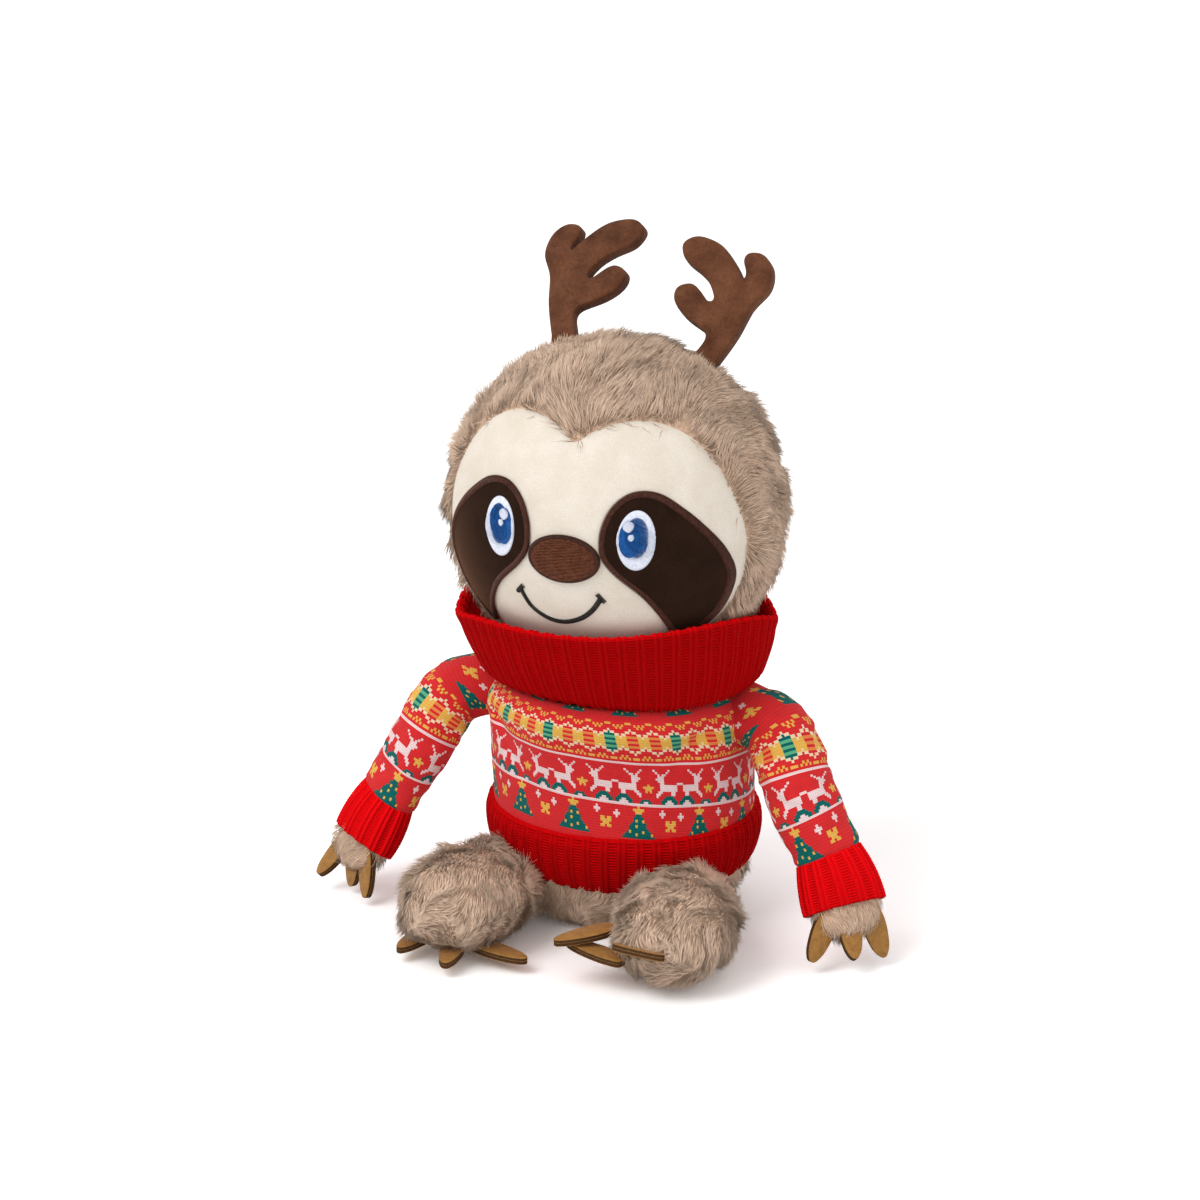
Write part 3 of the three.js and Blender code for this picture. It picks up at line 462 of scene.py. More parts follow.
# Thread or yarn along guides, thinner where it dips into the cloth at both ends
def makeYarnTree():
    tree, given = newTree("yarnTree", {
        "Radius": "Float", "Sides": "Int", "Taper": "Float", "Material": "Material",
    })
    lines = addNode(tree, "GeometryNodeMeshToCurve", {"Mesh": given["Geometry"]})
    factor = addNode(tree, "GeometryNodeSplineParameter").outputs["Factor"]
    angle = addNode(tree, "Math", [factor, math.pi], operation="MULTIPLY")
    swell = addNode(tree, "Math", [angle], operation="SINE")
    full = addNode(tree, "Math", [swell, given["Taper"]], operation="MULTIPLY")
    rest = addNode(tree, "Math", [1.0, given["Taper"]], operation="SUBTRACT")
    size = addNode(tree, "Math", [full, rest], operation="ADD")
    section = addNode(tree, "GeometryNodeCurvePrimitiveCircle", {
        "Resolution": given["Sides"], "Radius": given["Radius"],
    })
    tube = addNode(tree, "GeometryNodeCurveToMesh", {
        "Curve": lines, "Profile Curve": section, "Scale": size, "Fill Caps": True,
    })
    rounded = addNode(tree, "GeometryNodeSetShadeSmooth", {"Geometry": tube})
    painted = addNode(tree, "GeometryNodeSetMaterial", {"Geometry": rounded, "Material": given["Material"]})
    addNode(tree, "NodeGroupOutput", {"Geometry": painted})
    return tree


# Guides are an array of lines, points and coordinates
def stitched(name, guides, radius, material, sides=4, taper=0.45):
    lines, count = guides.shape[:2]
    starts = np.arange(lines)[:, None] * count + np.arange(count - 1)
    edges = np.stack([starts.ravel(), starts.ravel() + 1], axis=1)
    mesh = bpy.data.meshes.new(name + "_guides")
    mesh.from_pydata(guides.reshape(-1, 3).tolist(), edges.tolist(), [])
    base = addObject(name + "_guides", mesh)
    inputs = {"Radius": radius, "Sides": sides, "Taper": taper, "Material": material}
    piece = grown(base, yarnTree, name, inputs)
    bpy.data.objects.remove(base)
    return piece


# What the frame is told of a piece: its body and the node it stands for
def settle(piece, body, node=None):
    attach(piece, body)
    if node:
        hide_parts(node)
    return piece


furStyle = {"lift": 0.66, "lean": 0.9, "waver": 2.4, "waverSize": 12, "clump": 0.36, "clumpSize": 5.5}


# Lays the flow of the pile on a skin, with its length in millimetres and its density
def comb(skin, normals, flow, lengths, dense):
    flow = flow - normals * (flow * normals).sum(1, keepdims=True)
    setAttribute(skin, "flow", "FLOAT_VECTOR", unit(flow))
    setAttribute(skin, "pile", "FLOAT", lengths * mm)
    setAttribute(skin, "dense", "FLOAT", dense)


# Pile over a skin that has been combed, on the skin's body
def furred(skin, name, body, seed, spacing=0.46, **changes):
    fur = {**furStyle, **changes}
    pile = grown(skin, pileTree, name, {
        "Strand": strand, "Spacing": spacing * mm, "Density": 5.0 / mm**2, "Lift": fur["lift"],
        "Lean": fur["lean"], "Waver": fur["waver"], "Waver size": 1 / (fur["waverSize"] * mm),
        "Clump": fur["clump"] / (fur["clumpSize"] * mm), "Clump size": 1 / (fur["clumpSize"] * mm),
        "Seed": seed, "Material": pileFur,
    })
    points = readPoints(pile)
    points[:, 2] = np.maximum(points[:, 2], 0.4 * mm)
    movePoints(pile, points)
    settle(pile, body)
    print(pile.name, len(pile.data.polygons))


# A padded skin under its pile
def settleSkin(skin, body, node):
    settle(skin, body, node)


pileFur = makePile()
backing = makeCloth("furBacking", (0.95, 0.1), [(0.35, "#BC9A80"), (0.65, "#DDBBA0")], (2.2, 4.0, 0.7),
                    depth=0.8)
facePlush = makeShortPile("facePlush", "#E6DDD0", "#D9CDBD", 0.08, "#FFF6EA")
patchPlush = makeShortPile("patchPlush", "#29180F", "#1B0F08", 0.55, "#9A6A4C")
borderThread = makeThread("borderThread", "#542B1A", "#3A1B10")
noseThread = makeThread("noseThread", "#6C391E", "#50260F")
noseRimThread = makeThread("noseRimThread", "#472415", "#30180D")
mouthThread = makeThread("mouthThread", "#2A2421", "#151110")
whiteThread = makeThread("whiteThread", "#E6E9F4", "#D2D7E6")
irisThread = makeThread("irisThread", "#06559A", "#033C76")
# one red rib yarn in lit and shaded copies: painted shade makes the collar and hem copies darker, painted light makes
# the cuff copies brighter, and each band's base under its cords is painted a little darker as shade between the ribs
ribYarnPaintedShade = makeYarn("ribYarnPaintedShade", "#B60105", "#9A0103")
ribBasePaintedShade = makeYarn("ribBasePaintedShade", "#A80104", "#8C0103")
cuffYarnPaintedLight = makeYarn("cuffYarnPaintedLight", "#CE050B", "#B40408")
cuffBasePaintedLightAndShade = makeYarn("cuffBasePaintedLightAndShade", "#CA0409", "#AC0306")
jersey = makeJersey(0.8 * mm)
# needle felt: short matted wool, flecked lighter and darker
felt = makeCloth("antlerFelt", (0.95, 0.08, 0.1, 0.5),
                 [(0.1, "#482818"), (0.25, "#673E28"), (0.42, "#7A4E35")],
                 (1.3, 5.0, 0.75, 1.2), cloud=(9, 2.0), depth=0.5)
# suede-like leathercloth: a brushed tan face
suede = makeCloth("clawSuede", (0.7, 0.3, 0.15, 0.4), [(0.25, "#7E5524"), (0.5, "#9A6C32"), (0.8, "#B0803F")],
                  (2.5, 5.0, 0.7), depth=0.2, strength=0.6)
clawEdge = makeFilling("clawEdge", "#5A3B1E", "#38220F", 0.5)
clawCore = makeFilling("clawCore", "#B08A58", "#8A6636", 0.5)
fibre = makeFilling("fibreFilling", "#F4F2EE", "#D8D4CC", 3)
pellets = makeFilling("pelletBag", "#DAD4C8", "#B4AC9E", 2.5)
strand = makeStrand()
pileTree = makePileTree()
yarnTree = makeYarnTree()
print("materials and trees made")


# Carried-over frame nodes: the fillings stay inside the cloths
for nodeName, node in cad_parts.items():
    node.data.materials.clear()
    node.data.materials.append(pellets if "pouch" in nodeName else fibre)


# Head: an oval of long pile round a short-pile face, whose outlines are shares of its half-width
head = {
    "centre": np.array([0, -9, 167.9]) * mm, "half": np.array([64, 58, 64]) * mm, "unit": 64 * mm,
    "columns": 160, "rows": 56, "quartersMeet": 18 * mm,
    "faceShares": [
        [0, 0.585], [0.09, 0.64], [0.19, 0.68], [0.32, 0.7], [0.46, 0.68], [0.6, 0.61], [0.72, 0.5],
        [0.81, 0.36], [0.88, 0.2], [0.92, 0.02], [0.915, -0.16], [0.88, -0.3], [0.8, -0.45], [0.66, -0.6],
        [0.48, -0.72], [0.25, -0.79], [0, -0.81],
    ],
    "patchShares": [
        [0.217, 0.03], [0.225, 0.14], [0.27, 0.25], [0.345, 0.325], [0.43, 0.35], [0.53, 0.33], [0.63, 0.26],
        [0.74, 0.15], [0.84, 0], [0.885, -0.16], [0.865, -0.3], [0.79, -0.45], [0.66, -0.58],
        [0.58, -0.63], [0.545, -0.5], [0.51, -0.4], [0.44, -0.28], [0.3, -0.14], [0.235, -0.05],
    ],
    "mouthShares": [
        [-0.3, -0.3], [-0.24, -0.41], [-0.14, -0.475], [-0.036, -0.487], [0.07, -0.45], [0.15, -0.385],
        [0.21, -0.3],
    ],
}
faceLine = np.array(head["faceShares"]) * 64 * mm
faceLine = smoothLine(np.concatenate([faceLine, (faceLine[1:-1] * [-1, 1])[::-1]]), 8)


# Points on the front of the head's oval, from across and up in metres and a lift
def onHead(flat, lift):
    half = head["half"] + np.asarray(lift)[..., None]
    x = flat[..., 0]
    z = flat[..., 1]
    depth = np.sqrt(np.maximum(1 - (x / half[..., 0]) ** 2 - (z / half[..., 2]) ** 2, 0.001))
    return np.stack([x, -half[..., 1] * depth, z], axis=-1) + head["centre"]


# A domed patch of cloth on the face: rings from its underside over its edge to its middle
def faceDisc(name, outline, middle, rise, edge, material, steps=8, under=0.1 * mm):
    radial = outline - middle
    reach = np.linalg.norm(radial, axis=1, keepdims=True)
    rings = [onHead(middle + radial * (k / steps), under) for k in range(1, steps)]
    rings.append(onHead(outline, under))
    for inset, share in ((0.0, 0.35), (0.25, 0.75), (0.6, 0.95), (1.0, 1.0)):
        shrunk = middle + radial * np.maximum(1 - inset * edge / reach, 0.2)
        rings.append(onHead(shrunk, under + (rise - under) * share))
    for k in range(1, steps):
        rings.append(onHead(middle + radial * (1 - edge / reach) * (1 - k / steps), rise))
    return loft(name, np.stack(rings), material)


# Stitches straight across a flat shape, each an arch over its padding
def acrossStitches(outline, pitch, direction, low, high, longest=None, points=4):
    direction = np.asarray(direction, float)
    square = np.array([-direction[1], direction[0]])
    along = outline @ direction
    side = outline @ square
    closing = np.roll(side, -1)
    t = np.linspace(0, 1, points)
    lift = low + (high - low) * np.sin(math.pi * t) ** 0.6
    guides = []
    for index, level in enumerate(np.arange(side.min() + pitch / 2, side.max(), pitch)):
        crosses = (side - level) * (closing - level) < 0
        share = (level - side[crosses]) / (closing - side)[crosses]
        hits = np.sort(along[crosses] + share * (np.roll(along, -1) - along)[crosses])
        for start, end in zip(hits[::2], hits[1::2]):
            cuts = [start, end]
            if longest and end - start > longest:
                shift = (index % 3) / 3
                inner = np.arange(start + longest * (0.4 + shift * 0.6), end - 0.3 * longest, longest)
                cuts = [start, *inner, end]
            for a, b in zip(cuts[:-1], cuts[1:]):
                guides.append(onHead((a + (b - a) * t)[:, None] * direction + level * square, lift))
    return np.stack(guides)


# Satin stitches square to a line on the face, from one side to the other
def borderStitches(line, pitch, outer, inner, low, high, closed=True, points=4):
    whole = np.concatenate([line, line[:1]]) if closed else line
    spaced = respaced(line, max(int(distances(whole)[-1] / pitch), 4), closed)
    ahead = np.roll(spaced, -1, axis=0) - np.roll(spaced, 1, axis=0)
    if not closed:
        ahead = np.gradient(spaced, axis=0)
    side = unit(np.stack([-ahead[:, 1], ahead[:, 0]], axis=1))
    t = np.linspace(0, 1, points)
    reach = outer + (inner - outer) * t
    flat = spaced[:, None] + side[:, None] * reach[None, :, None]
    lift = low + (high - low) * np.sin(math.pi * t) ** 0.7
    return onHead(flat, np.broadcast_to(lift, flat.shape[:2]))


def oval(across, up, halfWidth, halfHeight, count=64):
    turn = circle(count)
    return np.stack([across + halfWidth * np.cos(turn), up + halfHeight * np.sin(turn)], axis=1)


# Skin under the pile: from the seam round the face to the back of the head, then back inside
def makeHeadSkin():
    rows = head["rows"]
    outline = respaced(faceLine, head["columns"])
    bearing = np.arctan2(outline[:, 1], outline[:, 0])
    start = np.arcsin(np.clip(np.linalg.norm(outline / (64 * mm), axis=1), 0, 0.999))
    rings = []
    for lift, order in ((0.6, range(rows + 1)), (-1.6, range(rows, -1, -1))):
        for row in order:
            angle = start + (math.pi - 0.02 - start) * (row / rows)
            tuck = 0.0 if lift < 0 else np.clip(1 - row / 2.5, 0, 1) * 1.6 * mm
            half = head["half"] + lift * mm - tuck
            x = half[0] * np.sin(angle) * np.cos(bearing)
            z = half[2] * np.sin(angle) * np.sin(bearing)
            rings.append(np.stack([x, -half[1] * np.cos(angle), z], axis=1) + head["centre"])
    return loft("head_backing", np.stack(rings), backing, hoop=True)


# The pile lies away from the face and down the head's sides and back
def growHeadPile(skin):
    points = readPoints(skin)
    normals = readPoints(skin, "normal")
    offset = (points - head["centre"]) / head["half"]
    side = np.clip(offset[:, 2], -1, 1)
    front = smoothStep(-1.3 * normals[:, 1:2]) * smoothStep(1.6 * normals[:, 2:] + 0.4)
    weight = (0.35 + 0.5 * np.clip(1 - side, 0, 1))[:, None] * (1 - front)
    back = np.array([0.0, 1.0, 0.0])
    down = np.array([0.0, 0.0, -1.0])
    flow = back * (1 - 0.5 * weight) + down * weight - down * front * 0.7
    outside = (offset * offset).sum(1) > 0.985
    hidden = smoothStep((-offset[:, 2] - 0.62) / 0.2)
    comb(skin, normals, flow + swirlAt(points, 22 * mm, (3.1, 8.7, 14.2)) * 0.9,
         7.8 + 1.4 * noiseAt(points, 12 * mm, 5.5), outside * (1 - 0.75 * hidden))
    for index, (right, high) in enumerate(((0, 0), (1, 0), (0, 1), (1, 1))):
        part = addObject("head_quarter", skin.data.copy())
        shape = bmesh.new()
        shape.from_mesh(part.data)
        spare = []
        for face in shape.faces:
            middle = face.calc_center_median()
            if (middle.x > 0) != right or (middle.z > head["centre"][2] + head["quartersMeet"]) != high:
                spare.append(face)
        bmesh.ops.delete(shape, geom=spare, context="FACES")
        shape.to_mesh(part.data)
        shape.free()
        furred(part, f"head_pile_{index + 1}", "head", 11 + index)
        bpy.data.objects.remove(part)


headSkin = makeHeadSkin()
growHeadPile(headSkin)
settleSkin(headSkin, "head", "head_fur_shell")
print("head pile grown")


# Face: cream short pile, pulled in a little at the seam
def makeFace():
    outline = respaced(faceLine, 192)
    middle = np.array([0, -0.05]) * 64 * mm
    profile = [(share, -1.5) for share in np.linspace(0.1, 1.0, 10)]
    profile += [(1.012, -1.4), (1.008, -0.6), (0.995, -0.1), (0.98, 0.15), (0.95, 0.3)]
    profile += [(share, 0.3) for share in np.linspace(0.9, 0.04, 26)]
    rings = [onHead(middle + (outline - middle) * share, lift * mm) for share, lift in profile]
    cloth = loft("face_cloth", np.stack(rings), facePlush)
    settle(cloth, "head", "face_panel")


makeFace()

# Places and half sizes are shares of the head's half-width; heights over the head are in millimetres
eyeLayers = {
    "eye_white": {"at": (0.421, 0.07), "half": (0.104, 0.178), "lean": {"left": 0.05, "right": -0.05},
                  "under": 1.0, "rise": 1.85, "edge": 0.9, "arch": (1.35, 2.1), "thread": whiteThread},
    "iris": {"at": (0.39, 0.082), "half": (0.062, 0.11), "lean": {"left": 0.3, "right": 0.3},
             "under": 1.6, "rise": 2.35, "edge": 0.8, "arch": (1.95, 2.6), "thread": irisThread},
}
glints = {"left": [(-0.6, 4.9, 2.0), (0.45, 0.9, 1.25)], "right": [(0.3, 4.7, 2.0), (-0.8, 1.4, 1.25)]}


def makeEye(name, sign):
    outline = respaced(smoothLine(np.array(head["patchShares"]) * head["unit"] * [sign, 1], 8), 160)
    middle = np.array([0.5 * sign, 0]) * head["unit"]
    patch = faceDisc(f"eye_patch_cloth_{name}", outline, middle, 1.3 * mm, 1.0 * mm, patchPlush, steps=14)
    settle(patch, "head", f"eye_patch_{name}")
    ordered = outline if np.cross(outline[1] - outline[0], middle - outline[0]) > 0 else outline[::-1]
    guides = borderStitches(ordered, 0.42 * mm, -0.35 * mm, 2.3 * mm, 0.9 * mm, 1.8 * mm)
    settle(stitched(f"patch_border_{name}", guides, 0.24 * mm, borderThread), "head")
    for layer, look in eyeLayers.items():
        across, up = [share * head["unit"] for share in look["at"]]
        low, high = [height * mm for height in look["arch"]]
        shape = oval(across * sign, up, *[share * head["unit"] for share in look["half"]])
        pad = faceDisc(f"{layer}_pad_{name}", shape, shape.mean(0), look["rise"] * mm, look["edge"] * mm,
                       look["thread"], steps=4, under=look["under"] * mm)
        settle(pad, "head", f"{layer}_{name}")
        guides = acrossStitches(shape, 0.36 * mm, (look["lean"][name], 1.0), low, high, points=6)
        threads = stitched(f"{layer}_stitches_{name}", guides, 0.21 * mm, look["thread"], taper=0.3)
        settle(threads, "head")
    # the glints lie on the iris, which is the last layer
    for index, (across, up, radius) in enumerate(glints[name]):
        spot = oval(shape.mean(0)[0] + across * mm, shape.mean(0)[1] + up * mm, radius * mm, radius * mm, 24)
        guides = acrossStitches(spot, 0.34 * mm, (1.0, 0.1), 2.45 * mm, 3.0 * mm)
        threads = stitched(f"glint_{name}_{index + 1}", guides, 0.21 * mm, whiteThread, taper=0.3)
        settle(threads, "head")


def makeNose():
    half = np.array([0.22, 0.145]) * head["unit"]
    outline = oval(0, -0.062 * head["unit"], *half, 96)
    pad = faceDisc("nose_pad", outline, outline.mean(0), 2.0 * mm, 2.0 * mm, noseThread)
    settle(pad, "head", "nose_embroidery")
    inner = oval(0, -0.062 * head["unit"], *(half - 1.0 * mm), 96)
    guides = acrossStitches(inner, 0.42 * mm, (1.0, 0.0), 1.9 * mm, 2.35 * mm, longest=7 * mm, points=5)
    settle(stitched("nose_stitches", guides, 0.26 * mm, noseThread, taper=0.35), "head")
    guides = borderStitches(outline[::-1], 0.4 * mm, -1.6 * mm, 0.2 * mm, 0.9 * mm, 2.3 * mm)
    settle(stitched("nose_rim", guides, 0.24 * mm, noseRimThread), "head")


def makeMouth():
    line = smoothLine(np.array(head["mouthShares"]) * head["unit"], 10, closed=False)
    guides = [borderStitches(line, 0.36 * mm, -1.0 * mm, 1.0 * mm, 0.2 * mm, 1.1 * mm, closed=False)]
    for end, across, up in ((line[0], -0.75, 0.66), (line[-1], 0.8, 0.6)):
        cross = np.array([-up, across])
        bar = np.stack([end - cross * 2 * mm, end, end + cross * 2 * mm])
        guides.append(borderStitches(bar, 0.36 * mm, -0.9 * mm, 0.9 * mm, 0.3 * mm, 1.2 * mm, closed=False))
    mouth = stitched("mouth_stitches", np.concatenate(guides), 0.23 * mm, mouthThread, taper=0.4)
    settle(mouth, "head", "mouth_embroidery")


for side, sign in sides.items():
    makeEye(side, sign)
makeNose()
makeMouth()
print("face made")


# Torso: a stuffed form on a flat seat, leaning forward towards its neck
torso = {
    "height": 96 * mm, "halfWidth": 50 * mm, "depthShare": 0.88, "seatHalfWidth": 30 * mm,
    "seatRound": 40 * mm, "shoulderRound": 12 * mm, "neckEdge": 37 * mm, "seatFlat": 0.5 * mm,
    "forward": 9 * mm,
}


# Profile of the torso from the seat's edge to the neck's edge, as distance, half-width and height
def torsoProfile(offset, steps=24):
    turn = np.linspace(0, math.pi / 2, steps)
    seatWidth = torso["halfWidth"] - torso["seatHalfWidth"]
    lowWidth = torso["seatHalfWidth"] + (seatWidth + offset) * np.sin(turn)
    lowHeight = torso["seatRound"] - torso["seatFlat"] - (torso["seatRound"] + offset) * np.cos(turn)
    shoulder = torso["halfWidth"] - torso["neckEdge"]
    highWidth = torso["neckEdge"] + (shoulder + offset) * np.cos(turn)
    highHeight = torso["height"] - torso["shoulderRound"] + (torso["shoulderRound"] + offset) * np.sin(turn)
    widths = np.concatenate([lowWidth, highWidth])
    heights = np.concatenate([lowHeight, highHeight])
    walked = np.concatenate([[0], np.cumsum(np.hypot(np.diff(widths), np.diff(heights)))])
    return walked, widths, heights


# Points of the torso's surface at angles and at distances up its profile
def onTorso(turn, distance, profile):
    distance = np.broadcast_to(distance, turn.shape)
    width, height = [np.interp(distance, profile[0], values) for values in profile[1:]]
    lean = np.clip((height - torso["seatRound"]) / (torso["height"] - torso["seatRound"]), 0, 1) ** 3
    depth = width * (torso["depthShare"] + (1 - torso["depthShare"]) * lean)
    return np.stack([width * np.cos(turn), depth * np.sin(turn) - torso["forward"] * lean, height], axis=-1)


def makeBody():
    turn = circle(120)
    outer = torsoProfile(0.0)
    inner = torsoProfile(-4 * mm)
    rings = [onTorso(turn, d, outer) for d in np.linspace(0, outer[0][-1], 46)]
    rings = [rings[0] * [0.5, 0.5, 1], *rings, rings[-1] * [0.89, 0.89, 1]]
    stack = np.stack(rings + [onTorso(turn, d, inner) for d in np.linspace(inner[0][-1], 0, 20)])
    stack[..., 2] = np.maximum(stack[..., 2], 0.6 * mm)
    stack[..., :2] *= 1 - 0.034 * smoothStep((stack[..., 2:] - 44 * mm) / (6 * mm))
    skin = loft("body_backing", stack, backing)
    points = readPoints(skin)
    normals = readPoints(skin, "normal")
    height = points[:, 2]
    bearing = np.arctan2(points[:, 1] / torso["depthShare"], points[:, 0])
    ring = (points[:, 0] / torso["halfWidth"]) ** 2 + (points[:, 1] / torso["halfWidth"] / 0.88) ** 2
    shown = (height < 30 * mm) & (height > 1 * mm) & (normals[:, 2] < 0.4) & (ring > 0.35)
    flow = np.stack([np.cos(bearing) * 0.3, np.sin(bearing) * 0.3, np.full(len(points), -0.7)], axis=1)
    comb(skin, normals, flow + swirlAt(points, 14 * mm, (1.3, 6.1, 9.4)),
         2.5 + 4.3 * smoothStep((height - 2 * mm) / (8 * mm)), shown * 1.0)
    furred(skin, "body_pile", "torso", 31, spacing=0.62)
    settleSkin(skin, "torso", "body_fur_shell")


makeBody()

# Print: a winter knit chart of zigzags, lanterns, deer, stars, firs, crosses and bows
inks = {
    "r": "#D92B2E", "w": "#F0D6D6", "y": "#E9B552", "c": "#F1D9B4", "t": "#04635F", "o": "#E98A48",
    "g": "#5DB083",
}
inkColours = {letter: linear(value) for letter, value in inks.items()}
chart = {
    "columns": 30, "rows": 52, "high": 0.955 * mm, "line": 23, "first": -9, "last": 55,
    "deer": [
        "w......w...", ".w....w....", "..w.ww.....", "..www......", ".wwww......", "..www......",
        "...ww......", "...wwwwwwww", "...wwwwwwww", "...wwwwwwww", "..ww....ww.", ".ww.....ww.",
        ".w......w..",
    ],
    "star": ["..y..", "yyyyy", ".yyy.", ".y.y."],
    "mound": ["..tttt..", ".tttttt.", "tttwwttt", "ttwwwwtt"],
    "drift": ["..tttt..", ".ttwwtt."],
    "tree": [
        ".......y.......", ".....yyyyy.....", "......yyy......", "......ttt......", ".....ttttt.....",
        ".....tytty.....", "....ttttttt....", "...tttytttt....", "...ttttttttt...", "..tytttttyttt..",
        ".tttttytttttty.", "ttttttttttttttt",
    ],
    "cross": [".w.", "www", ".w."],
    "bow": ["yy.yy", "yyyyy", ".yyy.", "yy.yy"],
}


def drawChart():
    cells = [["r"] * chart["columns"] for _ in range(chart["rows"])]

    def put(top, left, drawing):
        for i, line in enumerate(drawing):
            for j, letter in enumerate(line):
                if letter != ".":
                    cells[(top + i) % chart["rows"]][(left + j) % chart["columns"]] = letter

    # lanterns: a body five cells wide under a peak of the zigzag, yellow between them
    for copy, (body, stripe) in enumerate((("r", "o"), ("t", "g"), ("r", "o"))):
        for i in range(11):
            drop = abs(i - 5)
            edge = 2 * (5 - drop)
            for j in range(-5, 5):
                away = abs(j)
                letter = "."
                if edge - 2 < away <= edge or drop == 5 and away == 0 or drop == 2 and away == 5:
                    letter = "c"
                elif away <= min(edge - 2, 5):
                    letter = "y"
                if away <= min(edge - 2, 2) and drop < 5:
                    letter = body if drop % 2 else stripe
                if drop == 4 and away == 0:
                    letter = body
                put(9 + i, 3 + 10 * copy + j, [letter])
        put(7, 6 + 10 * copy, ["y.y.y", ".y.y."])
        put(20, 6 + 10 * copy, [".y.y.", "y.y.y"])
        for row in (6, 21):
            put(row, 2 + 10 * copy, ["yyy"])
    for row in (chart["line"], 42):
        put(row, 0, ["w" * chart["columns"]])
    put(26, 0, chart["deer"])
    put(26, 14, [line[::-1] for line in chart["deer"]])
    put(32, 11, ["www"])
    for row, column, drawing in (
        (33, 25, "star"), (38, 3, "mound"), (38, 12, "mound"), (40, 22, "drift"), (44, 2, "cross"),
        (45, 11, "cross"), (48, 5, "bow"), (43, 15, "tree"),
    ):
        put(row, column, chart[drawing])
    return cells


chartCells = drawChart()


# Cloth woven of cells: a grid with the chart's colour on each face and a map counted in stitches
def printedCloth(name, rings, firstRow, firstColumn):
    rows, columns = rings.shape[:2]
    cloth = addMesh(name, rings.reshape(-1, 3), bandFaces(rows, columns), jersey)
    cells = np.zeros((rows - 1, columns, 4, 4), np.float32)
    for r in range(rows - 1):
        row = firstRow + r
        letters = chartCells[row % chart["rows"]] if chart["first"] <= row <= chart["last"] else "r" * 30
        shades = [inkColours[letters[(firstColumn + c) % chart["columns"]]] for c in range(columns)]
        cells[r] = np.array(shades)[:, None, :]
    setAttribute(cloth, "print", "FLOAT_COLOR", cells, "CORNER")
    counted = cloth.data.uv_layers.new(name="stitches")
    c, r = np.meshgrid(np.arange(columns), np.arange(rows - 1))
    corners = np.stack([np.stack([c + i, r + j], -1) for i, j in ((0, 0), (1, 0), (1, 1), (0, 1))], axis=2)
    counted.data.foreach_set("uv", corners.astype(np.float32).ravel())
    return cloth


# Torso cloth: rows run level with the white line, whose height falls to the toy's left and rises in front
def makeJumper():
    turn = circle(384) + math.pi / 2
    profile = torsoProfile(2.5 * mm)
    walked, _, heights = profile
    seam = np.interp(75.8 * mm, heights[:40], walked[:40])
    tilt = -0.070 * 52 * mm * np.cos(turn) - 0.097 * 46 * mm * np.sin(turn)
    rings = []
    for row in range(chart["first"], 63):
        # the cloth is stretched over the shoulders and towards the hem
        rise = (chart["line"] - row) * (1.2 if row < chart["line"] else 1.0) - max(row - 42, 0) * 0.2
        distance = seam + rise * chart["high"] + tilt
        highest = walked[-1] - 0.05 * mm * (row - chart["first"])
        rings.append(onTorso(turn, np.minimum(distance, highest), profile))
    rings = np.stack(rings)
    outward = unit(rings * [1, 1, 0])
    rings = rings - outward * smoothStep((46 * mm - rings[..., 2]) / (7 * mm))[..., None] * 2.2 * mm
    puff = noiseAt(rings, 26 * mm, 4.0) * 0.9 * mm
    fold = noiseAt(rings * [1.0, 1.0, 0.35], 9 * mm, 12.0) * 0.45 * mm
    height = rings[..., 2]
    shown = smoothStep((height - 40 * mm) / (10 * mm)) * smoothStep((100 * mm - height) / (8 * mm))
    rings = rings + outward * ((puff + fold) * shown)[..., None]
    # creases that run in from each armhole
    for sign in (1, -1):
        for slope, depth, width in ((-0.55, 1.5, 3.2), (-1.3, 1.2, 3.0), (0.1, 1.0, 2.6)):
            away = rings - np.array([sign * 42, -30, 84]) * mm
            along = -sign * away[..., 0]
            across = (away[..., 2] - slope * along) / math.hypot(1, slope)
            dent = np.exp(-((across / (width * mm)) ** 2)) * smoothStep((along + 6 * mm) / (6 * mm))
            dent = dent * smoothStep(1 - along / (26 * mm)) * (rings[..., 1] < 0)
            rings = rings - outward * (dent * depth * mm)[..., None]
    cloth = printedCloth("jumper_cloth", rings, chart["first"], 15)
    settle(cloth, "torso", "sweater_body")


makeJumper()
print("jumper made")


def respacedRing(ring, columns):
    spots = np.arange(columns) / columns * len(ring)
    low = np.floor(spots).astype(int) % len(ring)
    share = (spots - np.floor(spots))[:, None]
    return ring[low] * (1 - share) + ring[(low + 1) % len(ring)] * share


